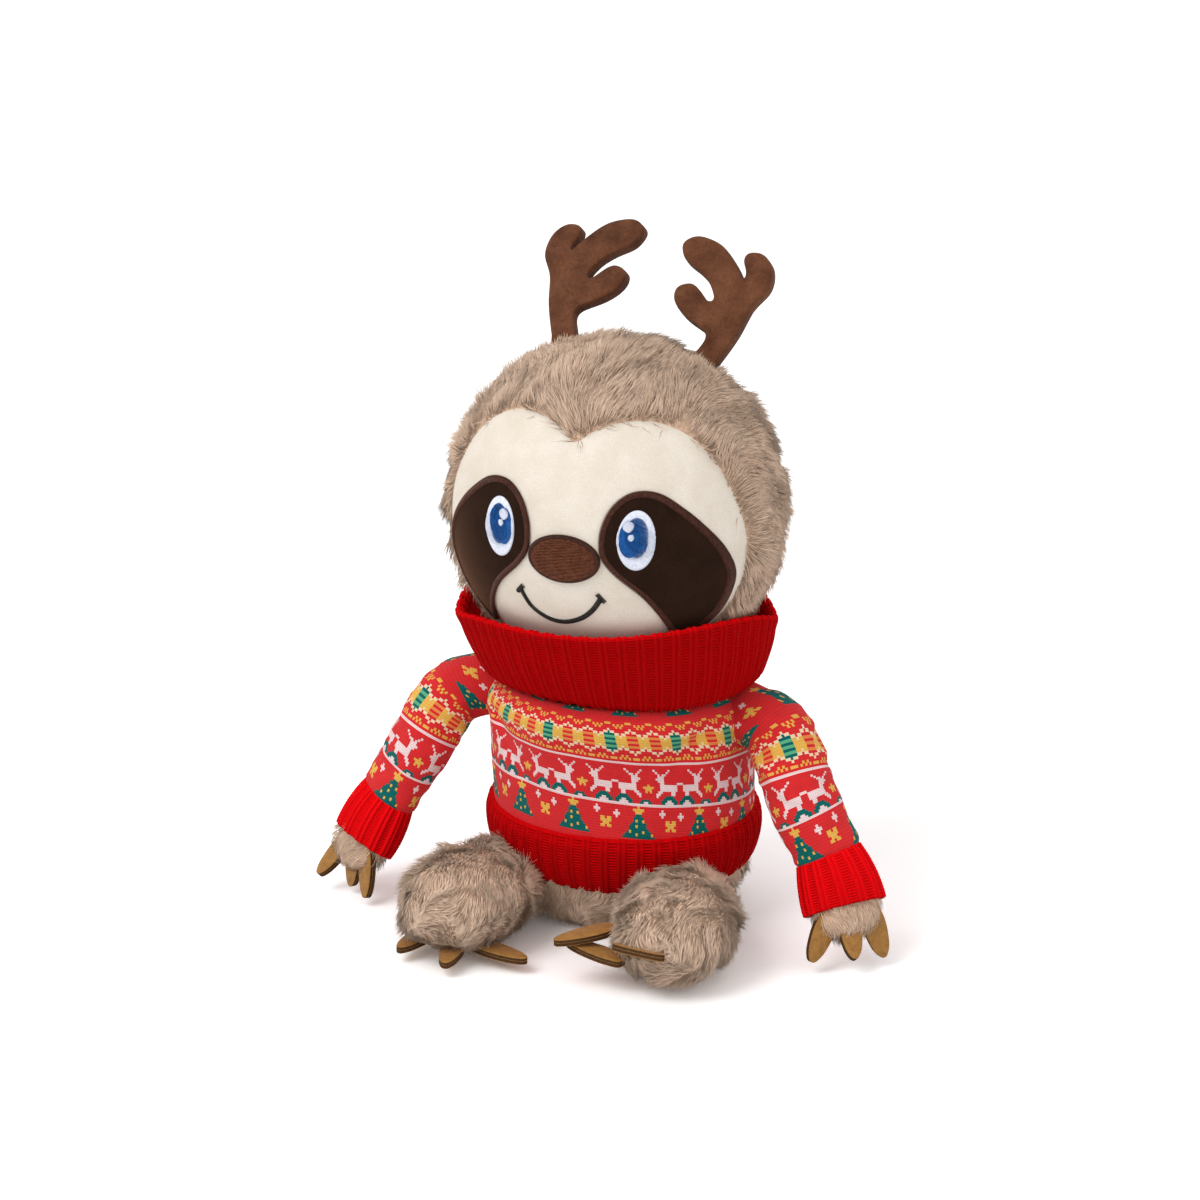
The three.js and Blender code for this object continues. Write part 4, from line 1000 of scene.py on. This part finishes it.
# Ribbed knit: a band of cloth with raised ribs, two wales of yarn on each rib and ladders between the ribs
def ribbedKnit(name, bandName, rings, behind, ribs, levels, radius, base, yarn, height=1.0, inward=False):
    read = reader(rings, inward)
    columns = ribs * 10
    u = np.arange(columns) / columns
    raised = smoothStep((0.37 - np.abs((u * ribs + 0.5) % 1 - 0.5)) / 0.12)
    sunk = (raised - 1.0) * 0.55 * height * mm - 0.3 * mm
    face = [read(u, row / 2, sunk) for row in range(len(rings) * 2 - 1)]
    back = [respacedRing(ring, columns) for ring in behind]
    band = loft(bandName, np.stack(face + back), base, hoop=True)
    # the wales are cords that swell at each stitch
    rows = len(levels) - 1
    rib = np.arange(ribs)[:, None]
    level = np.interp(np.linspace(0, rows, rows * 2 + 1), np.arange(rows + 1), levels)
    step = np.arange(rows * 2 + 1) % 2
    wales = [read((rib + side * (0.15 + 0.012 * step)) / ribs, level, (-0.82 + 0.16 * step) * height * mm)
             for side in (-1, 1)]
    cords = stitched(name + "_wales", np.concatenate(wales), radius, yarn, sides=6, taper=0.0)
    rib, low = np.meshgrid(np.arange(ribs), (levels[:-1] + levels[1:]) / 2, indexing="ij")
    offsets = np.array([0.27, 0.42, 0.58, 0.73])
    lifts = np.array([-0.6, -0.72, -0.72, -0.6]) * height * mm
    rungs = read((rib.ravel()[:, None] + offsets) / ribs, low.ravel()[:, None], lifts)
    bars = stitched(name + "_ladders", rungs, radius * 0.4, yarn, taper=0.0)
    return band, cords, bars


def settleKnit(pieces, body, node):
    for piece in pieces:
        settle(piece, body)
    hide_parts(node)


def ellipse(turn, halfWidth, halfDepth, shift, height):
    x, y, z = np.broadcast_arrays(halfWidth * np.cos(turn), halfDepth * np.sin(turn) + shift, height)
    return np.stack([x, y, z], axis=-1) * mm


hem = {"bottom": 22, "top": 44, "ribs": 49, "rows": 20, "rings": 13}


def seatWidthAt(height):
    drop = max(1 - (height + 0.5) / 40, 0)
    return 30 + 20 * math.sqrt(1 - drop * drop)


def makeHem():
    turn = circle(252)
    # the band dips a little at the front and back, where it is pulled down over the seat
    sag = 0.7 * np.sin(turn * 2 + 0.6) + 0.4 * np.sin(turn * 3 + 2.0)
    outer = []
    inner = []
    for share in np.arange(hem["rings"]) / (hem["rings"] - 1):
        height = hem["bottom"] - 0.4 + (hem["top"] - hem["bottom"] + 1.4) * share
        bulge = 2.2 * share + 1.2 * math.sin(math.pi * min(share * 1.05, 1)) - 1.0 * smoothStep(share * 6 - 5)
        roll = 0.9 * (1 - smoothStep(share * 8))
        inset = seatWidthAt(min(height, 44)) + 0.4
        width = inset + 2.6 + bulge - roll
        outer.append(ellipse(turn, width, width * 0.88 + 0.25 * share, 0, height + sag * (1 - share) * 0.6))
        inner.append(ellipse(turn, inset, inset * 0.88, 0, height))
    levels = np.linspace(0.1, hem["rings"] - 1.15, hem["rows"] + 1)
    knit = ribbedKnit("hem", "hem_band", np.stack(outer), inner[::-1], hem["ribs"], levels, 0.92 * mm,
                      ribBasePaintedShade, ribYarnPaintedShade)
    settleKnit(knit, "torso", "sweater_hem")


makeHem()

# Heights and widths in millimetres; a bump of the rim is its middle and spread in degrees, and its height
collar = {
    "fold": 129.9, "height": 31.5, "bottom": 55, "back": 8, "ease": 3.8, "ribs": 56, "rows": 29, "seam": 98.6,
    "depthShare": 0.89, "least": 32.8, "rings": 21, "insideDrops": [-0.6, 2, 6, 12, 20, 29],
    "bumps": [(-33, 33, 4.2), (20, 22, -6.5), (200, 22, -6.0)],
}


# Half-width and half-depth of the collar's inner layer at a height
def collarInside(height, offset):
    drop = min((167.9 - height) / 67, 1)
    loose = 61 * math.sqrt(1 - drop * drop) + collar["ease"]
    return max(loose / collar["depthShare"], collar["least"]) + offset, max(loose, collar["least"]) + offset


def makeCollar():
    turn = circle(280)
    topWidth, topDepth = collarInside(collar["fold"], 2.6)
    # the rim droops beside the cheeks and stands up at the toy's left front
    rimLift = 0.6 - 1.4 * np.sin(turn)
    for middleTurn, spread, amount in collar["bumps"]:
        away = (turn - math.radians(middleTurn) + math.pi) % (2 * math.pi) - math.pi
        rimLift = rimLift + amount * np.exp(-((away / math.radians(spread)) ** 2))
    pressed = -1.4 * np.cos(turn - 0.35) ** 2
    rings = []
    for share in np.arange(collar["rings"]) / (collar["rings"] - 1):
        bulge = math.sin(math.pi / 2 * share)
        edge = 1.2 * smoothStep(share * 4 - 3) - 1.6 * (1 - smoothStep(share * 9))
        width = collar["bottom"] + (topWidth - collar["bottom"]) * bulge + edge
        depth = collar["bottom"] * 0.88 + (topDepth - collar["bottom"] * 0.88) * bulge + edge
        height = collar["fold"] - collar["height"] * (1 - share)
        # the fold stands a little higher in front, and its bottom edge hangs unevenly
        lift = rimLift * share**2 + (1 - share) * 0.8 * np.sin(turn * 3 + 1.2)
        shift = collar["back"] * (1 - share) - 9
        rings.append(ellipse(turn, width + pressed * share, depth, shift, height + lift))
    middle = np.array([0, -9, 0]) * mm
    crest = rings[-1] + [0, 0, 1.3 * mm]
    rings.append(middle + (crest - middle) * [0.982, 0.98, 1])
    for height in [collar["fold"] - drop for drop in collar["insideDrops"]] + [collar["seam"]]:
        width, depth = collarInside(height, 0.2)
        near = smoothStep((height - 112) / 18)
        rings.append(ellipse(turn, width + pressed * near, depth, -9, height + rimLift * near))
    # the back of the cloth: inner layer's outside, then the outer layer's inside
    behind = [middle + (rings[k] - middle) * [1.055, 1.06, 1] for k in (-1, -2, -3, -4)]
    behind += [middle + (rings[k] - middle) * [0.955, 0.95, 1] + [0, 0, 0.3 * mm] for k in (14, 9, 4, 0)]
    levels = np.concatenate([np.linspace(0.1, 20.2, collar["rows"] + 1), [20.9, 21.6, 22.3, 23.0]])
    knit = ribbedKnit("collar", "collar_band", np.stack(rings), behind, collar["ribs"], levels, 0.95 * mm,
                      ribBasePaintedShade, ribYarnPaintedShade)
    settleKnit(knit, "torso", "sweater_collar")


makeCollar()
print("hem and collar made")


# Arms: a line of three bends from the shoulder to the hand, whose half sizes go by shares of its length
arm = {
    "shares": [[0, 0, 0], [0.33, 0.28, 0.04], [0.55, 0.57, 0.32], [0.78, 0.68, 0.645], [0.93, 0.86, 0.895],
               [1, 1, 1]],
    "spacing": 47, "height": 87, "reach": 58, "forward": 34, "drop": 73, "facing": math.radians(35),
    "sizes": {0.0: (12, 12), 0.4: (13.5, 11.5), 0.7: (13, 9), 0.89: (16.5, 9.5)},
    "sleeveStart": -0.06, "sleeveEnd": 0.7, "cuffEnd": 0.89, "lastRow": 57,
    "tip": {0.915: 0.99, 0.94: 0.94, 0.96: 0.84, 0.975: 0.7, 0.988: 0.48, 0.997: 0.2},
}


# Centripetal Catmull-Rom line through the arm's points
def armLine(sign, steps=40):
    points = np.array([[sign * (arm["spacing"] + out * arm["reach"]), -forward * arm["forward"],
                        arm["height"] - down * arm["drop"]] for out, forward, down in arm["shares"]]) * mm
    points = np.concatenate([[2 * points[0] - points[1]], points, [2 * points[-1] - points[-2]]])
    made = []
    for i in range(1, len(points) - 2):
        p = points[i - 1:i + 3]
        knots = np.concatenate([[0], np.cumsum(np.sqrt(np.linalg.norm(np.diff(p, axis=0), axis=1)))])
        t = np.linspace(knots[1], knots[2], steps, endpoint=i == len(points) - 3)[:, None]

        def between(a, b, low, high):
            gap = knots[high] - knots[low]
            return (knots[high] - t) / gap * a + (t - knots[low]) / gap * b

        a, b, c = [between(p[k], p[k + 1], k, k + 1) for k in range(3)]
        made.append(between(between(a, b, 0, 2), between(b, c, 1, 3), 1, 2))
    return np.concatenate(made)


# Points and directions at shares of a line's length; shares beyond its ends go straight on
def along(line, share):
    walked = distances(line)
    share = np.asarray(share, float)
    inside = np.clip(share, 0, 1) * walked[-1]

    def place(spots):
        spots = np.clip(spots, 0, walked[-1])
        return np.stack([np.interp(spots, walked, line[:, k]) for k in range(3)], axis=-1)

    tangent = unit(place(inside + 1 * mm) - place(inside - 1 * mm))
    beyond = np.asarray((share - np.clip(share, 0, 1)) * walked[-1])
    return place(inside) + tangent * beyond[..., None], tangent


# Rings round a line: shares of its length, half sizes across and through, and the side it faces
def limbRings(line, shares, halves, facing, columns):
    centre, tangent = along(line, shares)
    across = unit(np.cross(tangent, facing))
    through = unit(np.cross(tangent, across))
    turn = circle(columns)
    return (centre[:, None] + across[:, None] * (halves[0][:, None] * np.cos(turn))[..., None]
            + through[:, None] * (halves[1][:, None] * np.sin(turn))[..., None])


def armSize(share):
    places = sorted(arm["sizes"])
    size = np.full((2, len(share)), 12.0)
    for low, high in zip(places[:-1], places[1:]):
        a, b = [np.array(arm["sizes"][place])[:, None] for place in (low, high)]
        mix = (share - low) / (high - low)
        mix = np.clip(mix, 0, 1) if high == places[-1] else smoothStep(mix)
        size = np.where(share > low, a + (b - a) * mix, size)
    return size * mm


# Sleeve: the cloth is stretched over the forearm, and the firs' foot is just above the cuff
def makeSleeve(side, sign, line, facing):
    last = arm["sleeveEnd"] + 0.03
    steps = []
    while sum(steps) < last - arm["sleeveStart"]:
        row = arm["lastRow"] - len(steps)
        stretch = 1.4 if row > 42 else 0.88 if row > 23 else 1.05
        steps.append(stretch * chart["high"] / distances(line)[-1])
    shares = np.maximum(last - np.concatenate([[0], np.cumsum(steps)]), arm["sleeveStart"])[::-1]
    inside = smoothStep(-shares / 0.06) * 1.5 * mm
    tuck = smoothStep((shares - arm["sleeveEnd"] + 0.02) / 0.04) * 2.2 * mm
    rings = limbRings(line, shares, armSize(shares) + 0.3 * mm - tuck - inside, facing, 90)[:, ::sign]
    outward = unit(rings - along(line, shares)[0][:, None])
    crease = noiseAt(rings * [1, 1, 1.9], 11 * mm, 20 + sign)
    ridge = 1 - np.abs(noiseAt(rings * [0.8, 0.8, 2.0], 13 * mm, 30 + sign)) * 3
    near = np.exp(-(((shares - 0.33) / 0.16) ** 2))[:, None]
    shape = crease * 0.8 + np.clip(ridge, -1, 1) * 0.5 * (0.4 + near)
    rings = rings + outward * (shape * mm * (1 - tuck[:, None] / (2.2 * mm)))[..., None]
    sleeve = printedCloth(f"sleeve_cloth_{side}", rings, row, 4 if sign > 0 else 23)
    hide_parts(f"sleeve_{side}")
    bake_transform(sleeve)


cuff = {
    "rings": 14, "columns": 104, "ribs": 13, "rows": 18, "ribHeight": 0.85, "puff": 1.5, "thick": 2.4 * mm,
}


def makeCuff(side, sign, line, facing):
    span = np.linspace(arm["sleeveEnd"] - 0.006, arm["cuffEnd"] + 0.004, cuff["rings"])
    sizes = armSize(span)
    puff = cuff["puff"] * np.sin(math.pi * np.clip((span - 0.69) / 0.2, 0, 1)) ** 0.7 * mm
    rings = limbRings(line, span, sizes + puff * [[0.7], [1]], facing, cuff["columns"])[:, ::sign]
    inner = limbRings(line, span, sizes - cuff["thick"], facing, cuff["ribs"] * 10)[:, ::sign]
    levels = np.linspace(0.15, cuff["rings"] - 1.15, cuff["rows"] + 1)
    knit = ribbedKnit(f"cuff_{side}", f"cuff_band_{side}", rings, inner[::-1], cuff["ribs"], levels,
                      0.9 * mm, cuffBasePaintedLightAndShade, cuffYarnPaintedLight, height=cuff["ribHeight"], inward=sign < 0)
    settleKnit(knit, f"arm_{side}", f"cuff_{side}")


def makeArm(side, sign):
    line = armLine(sign)
    facing = np.array([math.sin(arm["facing"]) * sign, -math.cos(arm["facing"]), 0])
    makeSleeve(side, sign, line, facing)
    makeCuff(side, sign, line, facing)
    # arm and hand inside
    wrist = arm["cuffEnd"]
    shares = np.concatenate([np.linspace(0.03, wrist, 24), list(arm["tip"])])
    taper = np.interp(shares, [wrist, *arm["tip"]], [1, *arm["tip"].values()])
    halves = (armSize(np.minimum(shares, wrist)) - 3.2 * mm) * taper
    skin = loft(f"arm_backing_{side}", limbRings(line, shares, halves, facing, 60), backing)
    points = readPoints(skin)
    tangent = along(line, 0.95)[1]
    reach = (points - along(line, 1.0)[0]) @ tangent
    flow = tangent * 0.9 + swirlAt(points, 9 * mm, [seed + sign for seed in (2.3, 5.1, 9.9)])
    comb(skin, readPoints(skin, "normal"), flow, 5.2 + 0.8 * noiseAt(points, 6 * mm, 3.0),
         smoothStep((reach + 21 * mm) / (4 * mm)))
    furred(skin, f"hand_pile_{side}", f"arm_{side}", 41 + sign, spacing=0.55)
    settleSkin(skin, f"arm_{side}", f"arm_fur_{side}")


for side, sign in sides.items():
    makeArm(side, sign)
print("arms made")


# Legs: short, full feet that point forward and a little out
leg = {
    "shares": [[0, 0.45], [0.12, 0.65], [0.3, 0.86], [0.53, 1], [0.7, 0.95], [0.84, 0.77], [0.94, 0.5],
               [1, 0.14]],
    "spacing": 36, "forward": 22, "length": 69, "splay": math.radians(10), "skin": (22, 17.9), "lift": 19,
    "press": 2.2 * mm, "beside": [50.6 * mm, 44.6 * mm],
}


def makeLeg(side, sign):
    hip = np.array([sign * leg["spacing"], -leg["forward"], leg["lift"]]) * mm
    heading = np.array([math.sin(leg["splay"] * sign), -math.cos(leg["splay"] * sign), 0])
    line = hip + heading * np.linspace(0, leg["length"] * mm, 60)[:, None]
    shares, size = smoothLine(leg["shares"], 6, closed=False).T
    rings = limbRings(line, shares, [half * size * mm for half in leg["skin"]], [0, 0, 1.0], 84)
    # pressed flat on the seat side
    height = rings[..., 2]
    rings[..., 2] = np.where(height < leg["press"], leg["press"] + (height - leg["press"]) * 0.25, height)
    # beside the torso the leg keeps outside its skin
    reach = np.linalg.norm(rings[..., :2] / leg["beside"], axis=-1)
    low = np.clip(rings[..., 2] / (40 * mm), 0, 1)
    edge = (30 + 20 * np.sqrt(1 - (1 - low) ** 2)) / 50
    rings[..., :2] *= np.where(reach < edge, edge / np.maximum(reach, 0.2), 1.0)[..., None]
    skin = loft(f"leg_backing_{side}", rings, backing)
    # lumpy as a loosely filled foot is
    points = readPoints(skin)
    normals = readPoints(skin, "normal")
    bump = noiseAt(points, 17 * mm, 40 + sign) * mm
    points = points + normals * (bump * smoothStep((points[:, 2] - 6 * mm) / (8 * mm)))[:, None]
    movePoints(skin, points)
    outward = unit(points - (hip + heading * 34 * mm))
    swirl = swirlAt(points, 16 * mm, [seed + 3 * sign for seed in (4.3, 7.1, 2.9)])
    low = smoothStep((points[:, 2] - 1.5 * mm) / (9 * mm))
    comb(skin, normals, heading * 0.5 + outward * 0.5 + swirl * 1.2 + [0, 0, -0.25],
         2.4 + 4.8 * low + 1.2 * noiseAt(points, 9 * mm, 8.0),
         smoothStep((points[:, 2] - 0.5 * mm) / (3 * mm)))
    furred(skin, f"leg_pile_{side}", f"leg_{side}", 51 + sign, lift=0.75, lean=0.75, clump=0.4, clumpSize=8)
    settleSkin(skin, f"leg_{side}", f"leg_fur_{side}")


for side, sign in sides.items():
    makeLeg(side, sign)
print("legs made")


# Outline, facing and half thickness of a flat frame node, read from its largest face
def outlineOf(nodeName):
    shape = bmesh.new()
    shape.from_mesh(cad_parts[nodeName].data)
    bmesh.ops.remove_doubles(shape, verts=shape.verts, dist=0.01 * mm)
    bmesh.ops.dissolve_limit(shape, angle_limit=math.radians(2), verts=shape.verts, edges=shape.edges)
    shape.normal_update()
    face = max(shape.faces, key=lambda f: f.calc_area())
    normal = np.array(face.normal)
    points = np.array([v.co for v in face.verts])
    depth = np.array([v.co for v in shape.verts]) @ normal
    shape.free()
    middle = (depth.max() + depth.min()) / 2
    return points + normal * (middle - points @ normal)[:, None], normal, (depth.max() - depth.min()) / 2


# A flat shape with rounded edges: rows of inset and height from its back face to its front face
def roundedPlate(name, outline, normal, profile, material):
    axis = unit(outline[len(outline) // 3] - outline[0])
    axis = unit(axis - normal * (axis @ normal))
    other = np.cross(normal, axis)
    origin = outline.mean(0)
    flat = np.stack([(outline - origin) @ axis, (outline - origin) @ other], axis=1)
    if (flat[:, 0] * np.roll(flat[:, 1], -1) - np.roll(flat[:, 0], -1) * flat[:, 1]).sum() < 0:
        flat = flat[::-1]
    tangent = unit(np.roll(flat, -1, axis=0) - np.roll(flat, 1, axis=0))
    inward = np.stack([-tangent[:, 1], tangent[:, 0]], axis=1)
    rings = []
    for inset, height in profile:
        moved = flat + inward * inset
        rings.append(origin + moved[:, :1] * axis + moved[:, 1:] * other + normal * height)
    rows = len(rings)
    columns = len(flat)
    faces = bandFaces(rows, columns)
    faces.append(tuple(range(columns))[::-1])
    faces.append(tuple(range((rows - 1) * columns, rows * columns)))
    return turnOutward(addMesh(name, np.concatenate(rings), faces, material))


antler = {"columns": 260, "edge": 0.9 * mm}


def makeAntler(side):
    outline, normal, half = outlineOf(f"antler_{side}")
    line = softened(respaced(smoothLine(outline, 6), antler["columns"]), 3)
    edge = antler["edge"]
    profile = []
    for turn in np.linspace(-math.pi / 2, math.pi / 2, 9):
        height = math.copysign(half - edge, turn) + edge * math.sin(turn) if abs(turn) > 0.01 else 0.0
        profile.append((edge * (1 - math.cos(turn)), height))
    plate = roundedPlate(f"antler_felt_{side}", line, normal, profile, felt)
    settle(plate, f"antler_{side}", f"antler_{side}")


# Claws: two suede leaves stuck back to back, their cut edges showing a paler layer between
claw = {"columns": 72, "seam": 0.28 * mm}


def makeClaw(nodeName, body):
    outline, normal, half = outlineOf(nodeName)
    line = softened(respaced(smoothLine(outline, 5), claw["columns"]), 2)
    seam = claw["seam"]
    for index, way in enumerate((1, -1)):
        profile = [(0.25 * mm, seam * way * 0.2), (0.0, seam * way), (0.0, (half - 0.35 * mm) * way),
                   (0.12 * mm, (half - 0.1 * mm) * way), (0.4 * mm, half * way)]
        leaf = roundedPlate(f"{nodeName}_leaf_{index + 1}", line, normal, profile, suede)
        leaf.data.materials.append(clawEdge)
        for face in leaf.data.polygons:
            middle = abs((np.array(face.center) - line.mean(0)) @ normal)
            if middle < half - 0.3 * mm and face.area < 2 * mm**2:
                face.material_index = 1
        settle(leaf, body, None if index else nodeName)
    profile = [(0.35 * mm, -seam), (0.15 * mm, 0.0), (0.35 * mm, seam)]
    settle(roundedPlate(f"{nodeName}_core", line, normal, profile, clawCore), body)


for side in sides:
    makeAntler(side)
for side in sides:
    for index in (1, 2, 3):
        makeClaw(f"hand_claw_{side}_{index}", f"arm_{side}")
        makeClaw(f"foot_claw_{side}_{index}", f"leg_{side}")
print("antlers and claws made")


# Stage: a pale floor that keeps the shadow, a soft key from the upper left in front, a weak fill
def seenRays(tree):
    path = addNode(tree, "LightPath").outputs
    mirrored = addNode(tree, "Math", [path["Is Camera Ray"], path["Is Glossy Ray"]], operation="MAXIMUM")
    return addNode(tree, "Math", [mirrored, path["Is Transmission Ray"]], operation="MAXIMUM")


def makeStage():
    material, tree, shader = newMaterial("paleFloor", 1.0, 0.0)
    shown = addNode(tree, "Mix", {0: seenRays(tree), 6: linear("#E6E6E6"), 7: [1.3, 1.3, 1.3, 1.0]},
                    data_type="RGBA")
    feed(tree, shader, {"Base Color": shown.outputs[2]})
    addMesh("floor", [(-4, -4, 0), (4, -4, 0), (4, 4, 0), (-4, 4, 0)], [(0, 1, 2, 3)], material)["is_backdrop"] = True
    world = bpy.data.worlds.new("paleRoom")
    world.use_nodes = True
    tree = world.node_tree
    level = addNode(tree, "MapRange", {"Value": seenRays(tree), "To Min": 0.8, "To Max": 1.05})
    feed(tree, tree.nodes["Background"], {"Color": (1.0, 1.0, 1.0, 1.0), "Strength": level})
    for name, place, size, power in (("key", (-0.8, -1.2, 1.7), 1.2, 20), ("fill", (1.6, -1.1, 0.7), 1.4, 5)):
        lamp = bpy.data.lights.new(name, "AREA")
        lamp.size = size
        lamp.energy = power
        holder = addObject(name, lamp)
        holder.location = place
        holder.rotation_euler = (Vector((0, 0, 0.12)) - Vector(place)).to_track_quat("-Z", "Y").to_euler()
    lens = bpy.data.cameras.new("camera")
    lens.lens = 115.4
    lens.sensor_width = 36
    azimuth = math.radians(20)
    elevation = math.radians(18.5)
    back = Vector((math.sin(azimuth) * math.cos(elevation), -math.cos(azimuth) * math.cos(elevation),
                   math.sin(elevation)))
    camera = addObject("camera", lens)
    camera.location = Vector((-0.00883, -0.00321, 0.1267)) + back * 1.5
    camera.rotation_euler = back.to_track_quat("Z", "Y").to_euler()
    scene = bpy.context.scene
    scene.camera = camera
    scene.world = world
    scene.view_settings.view_transform = "Standard"


makeStage()
bpy.data.objects.remove(strand)
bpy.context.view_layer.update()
triangles = 0
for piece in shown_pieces():
    triangles += sum(len(face.vertices) - 2 for face in piece.data.polygons)
print("triangles", triangles)
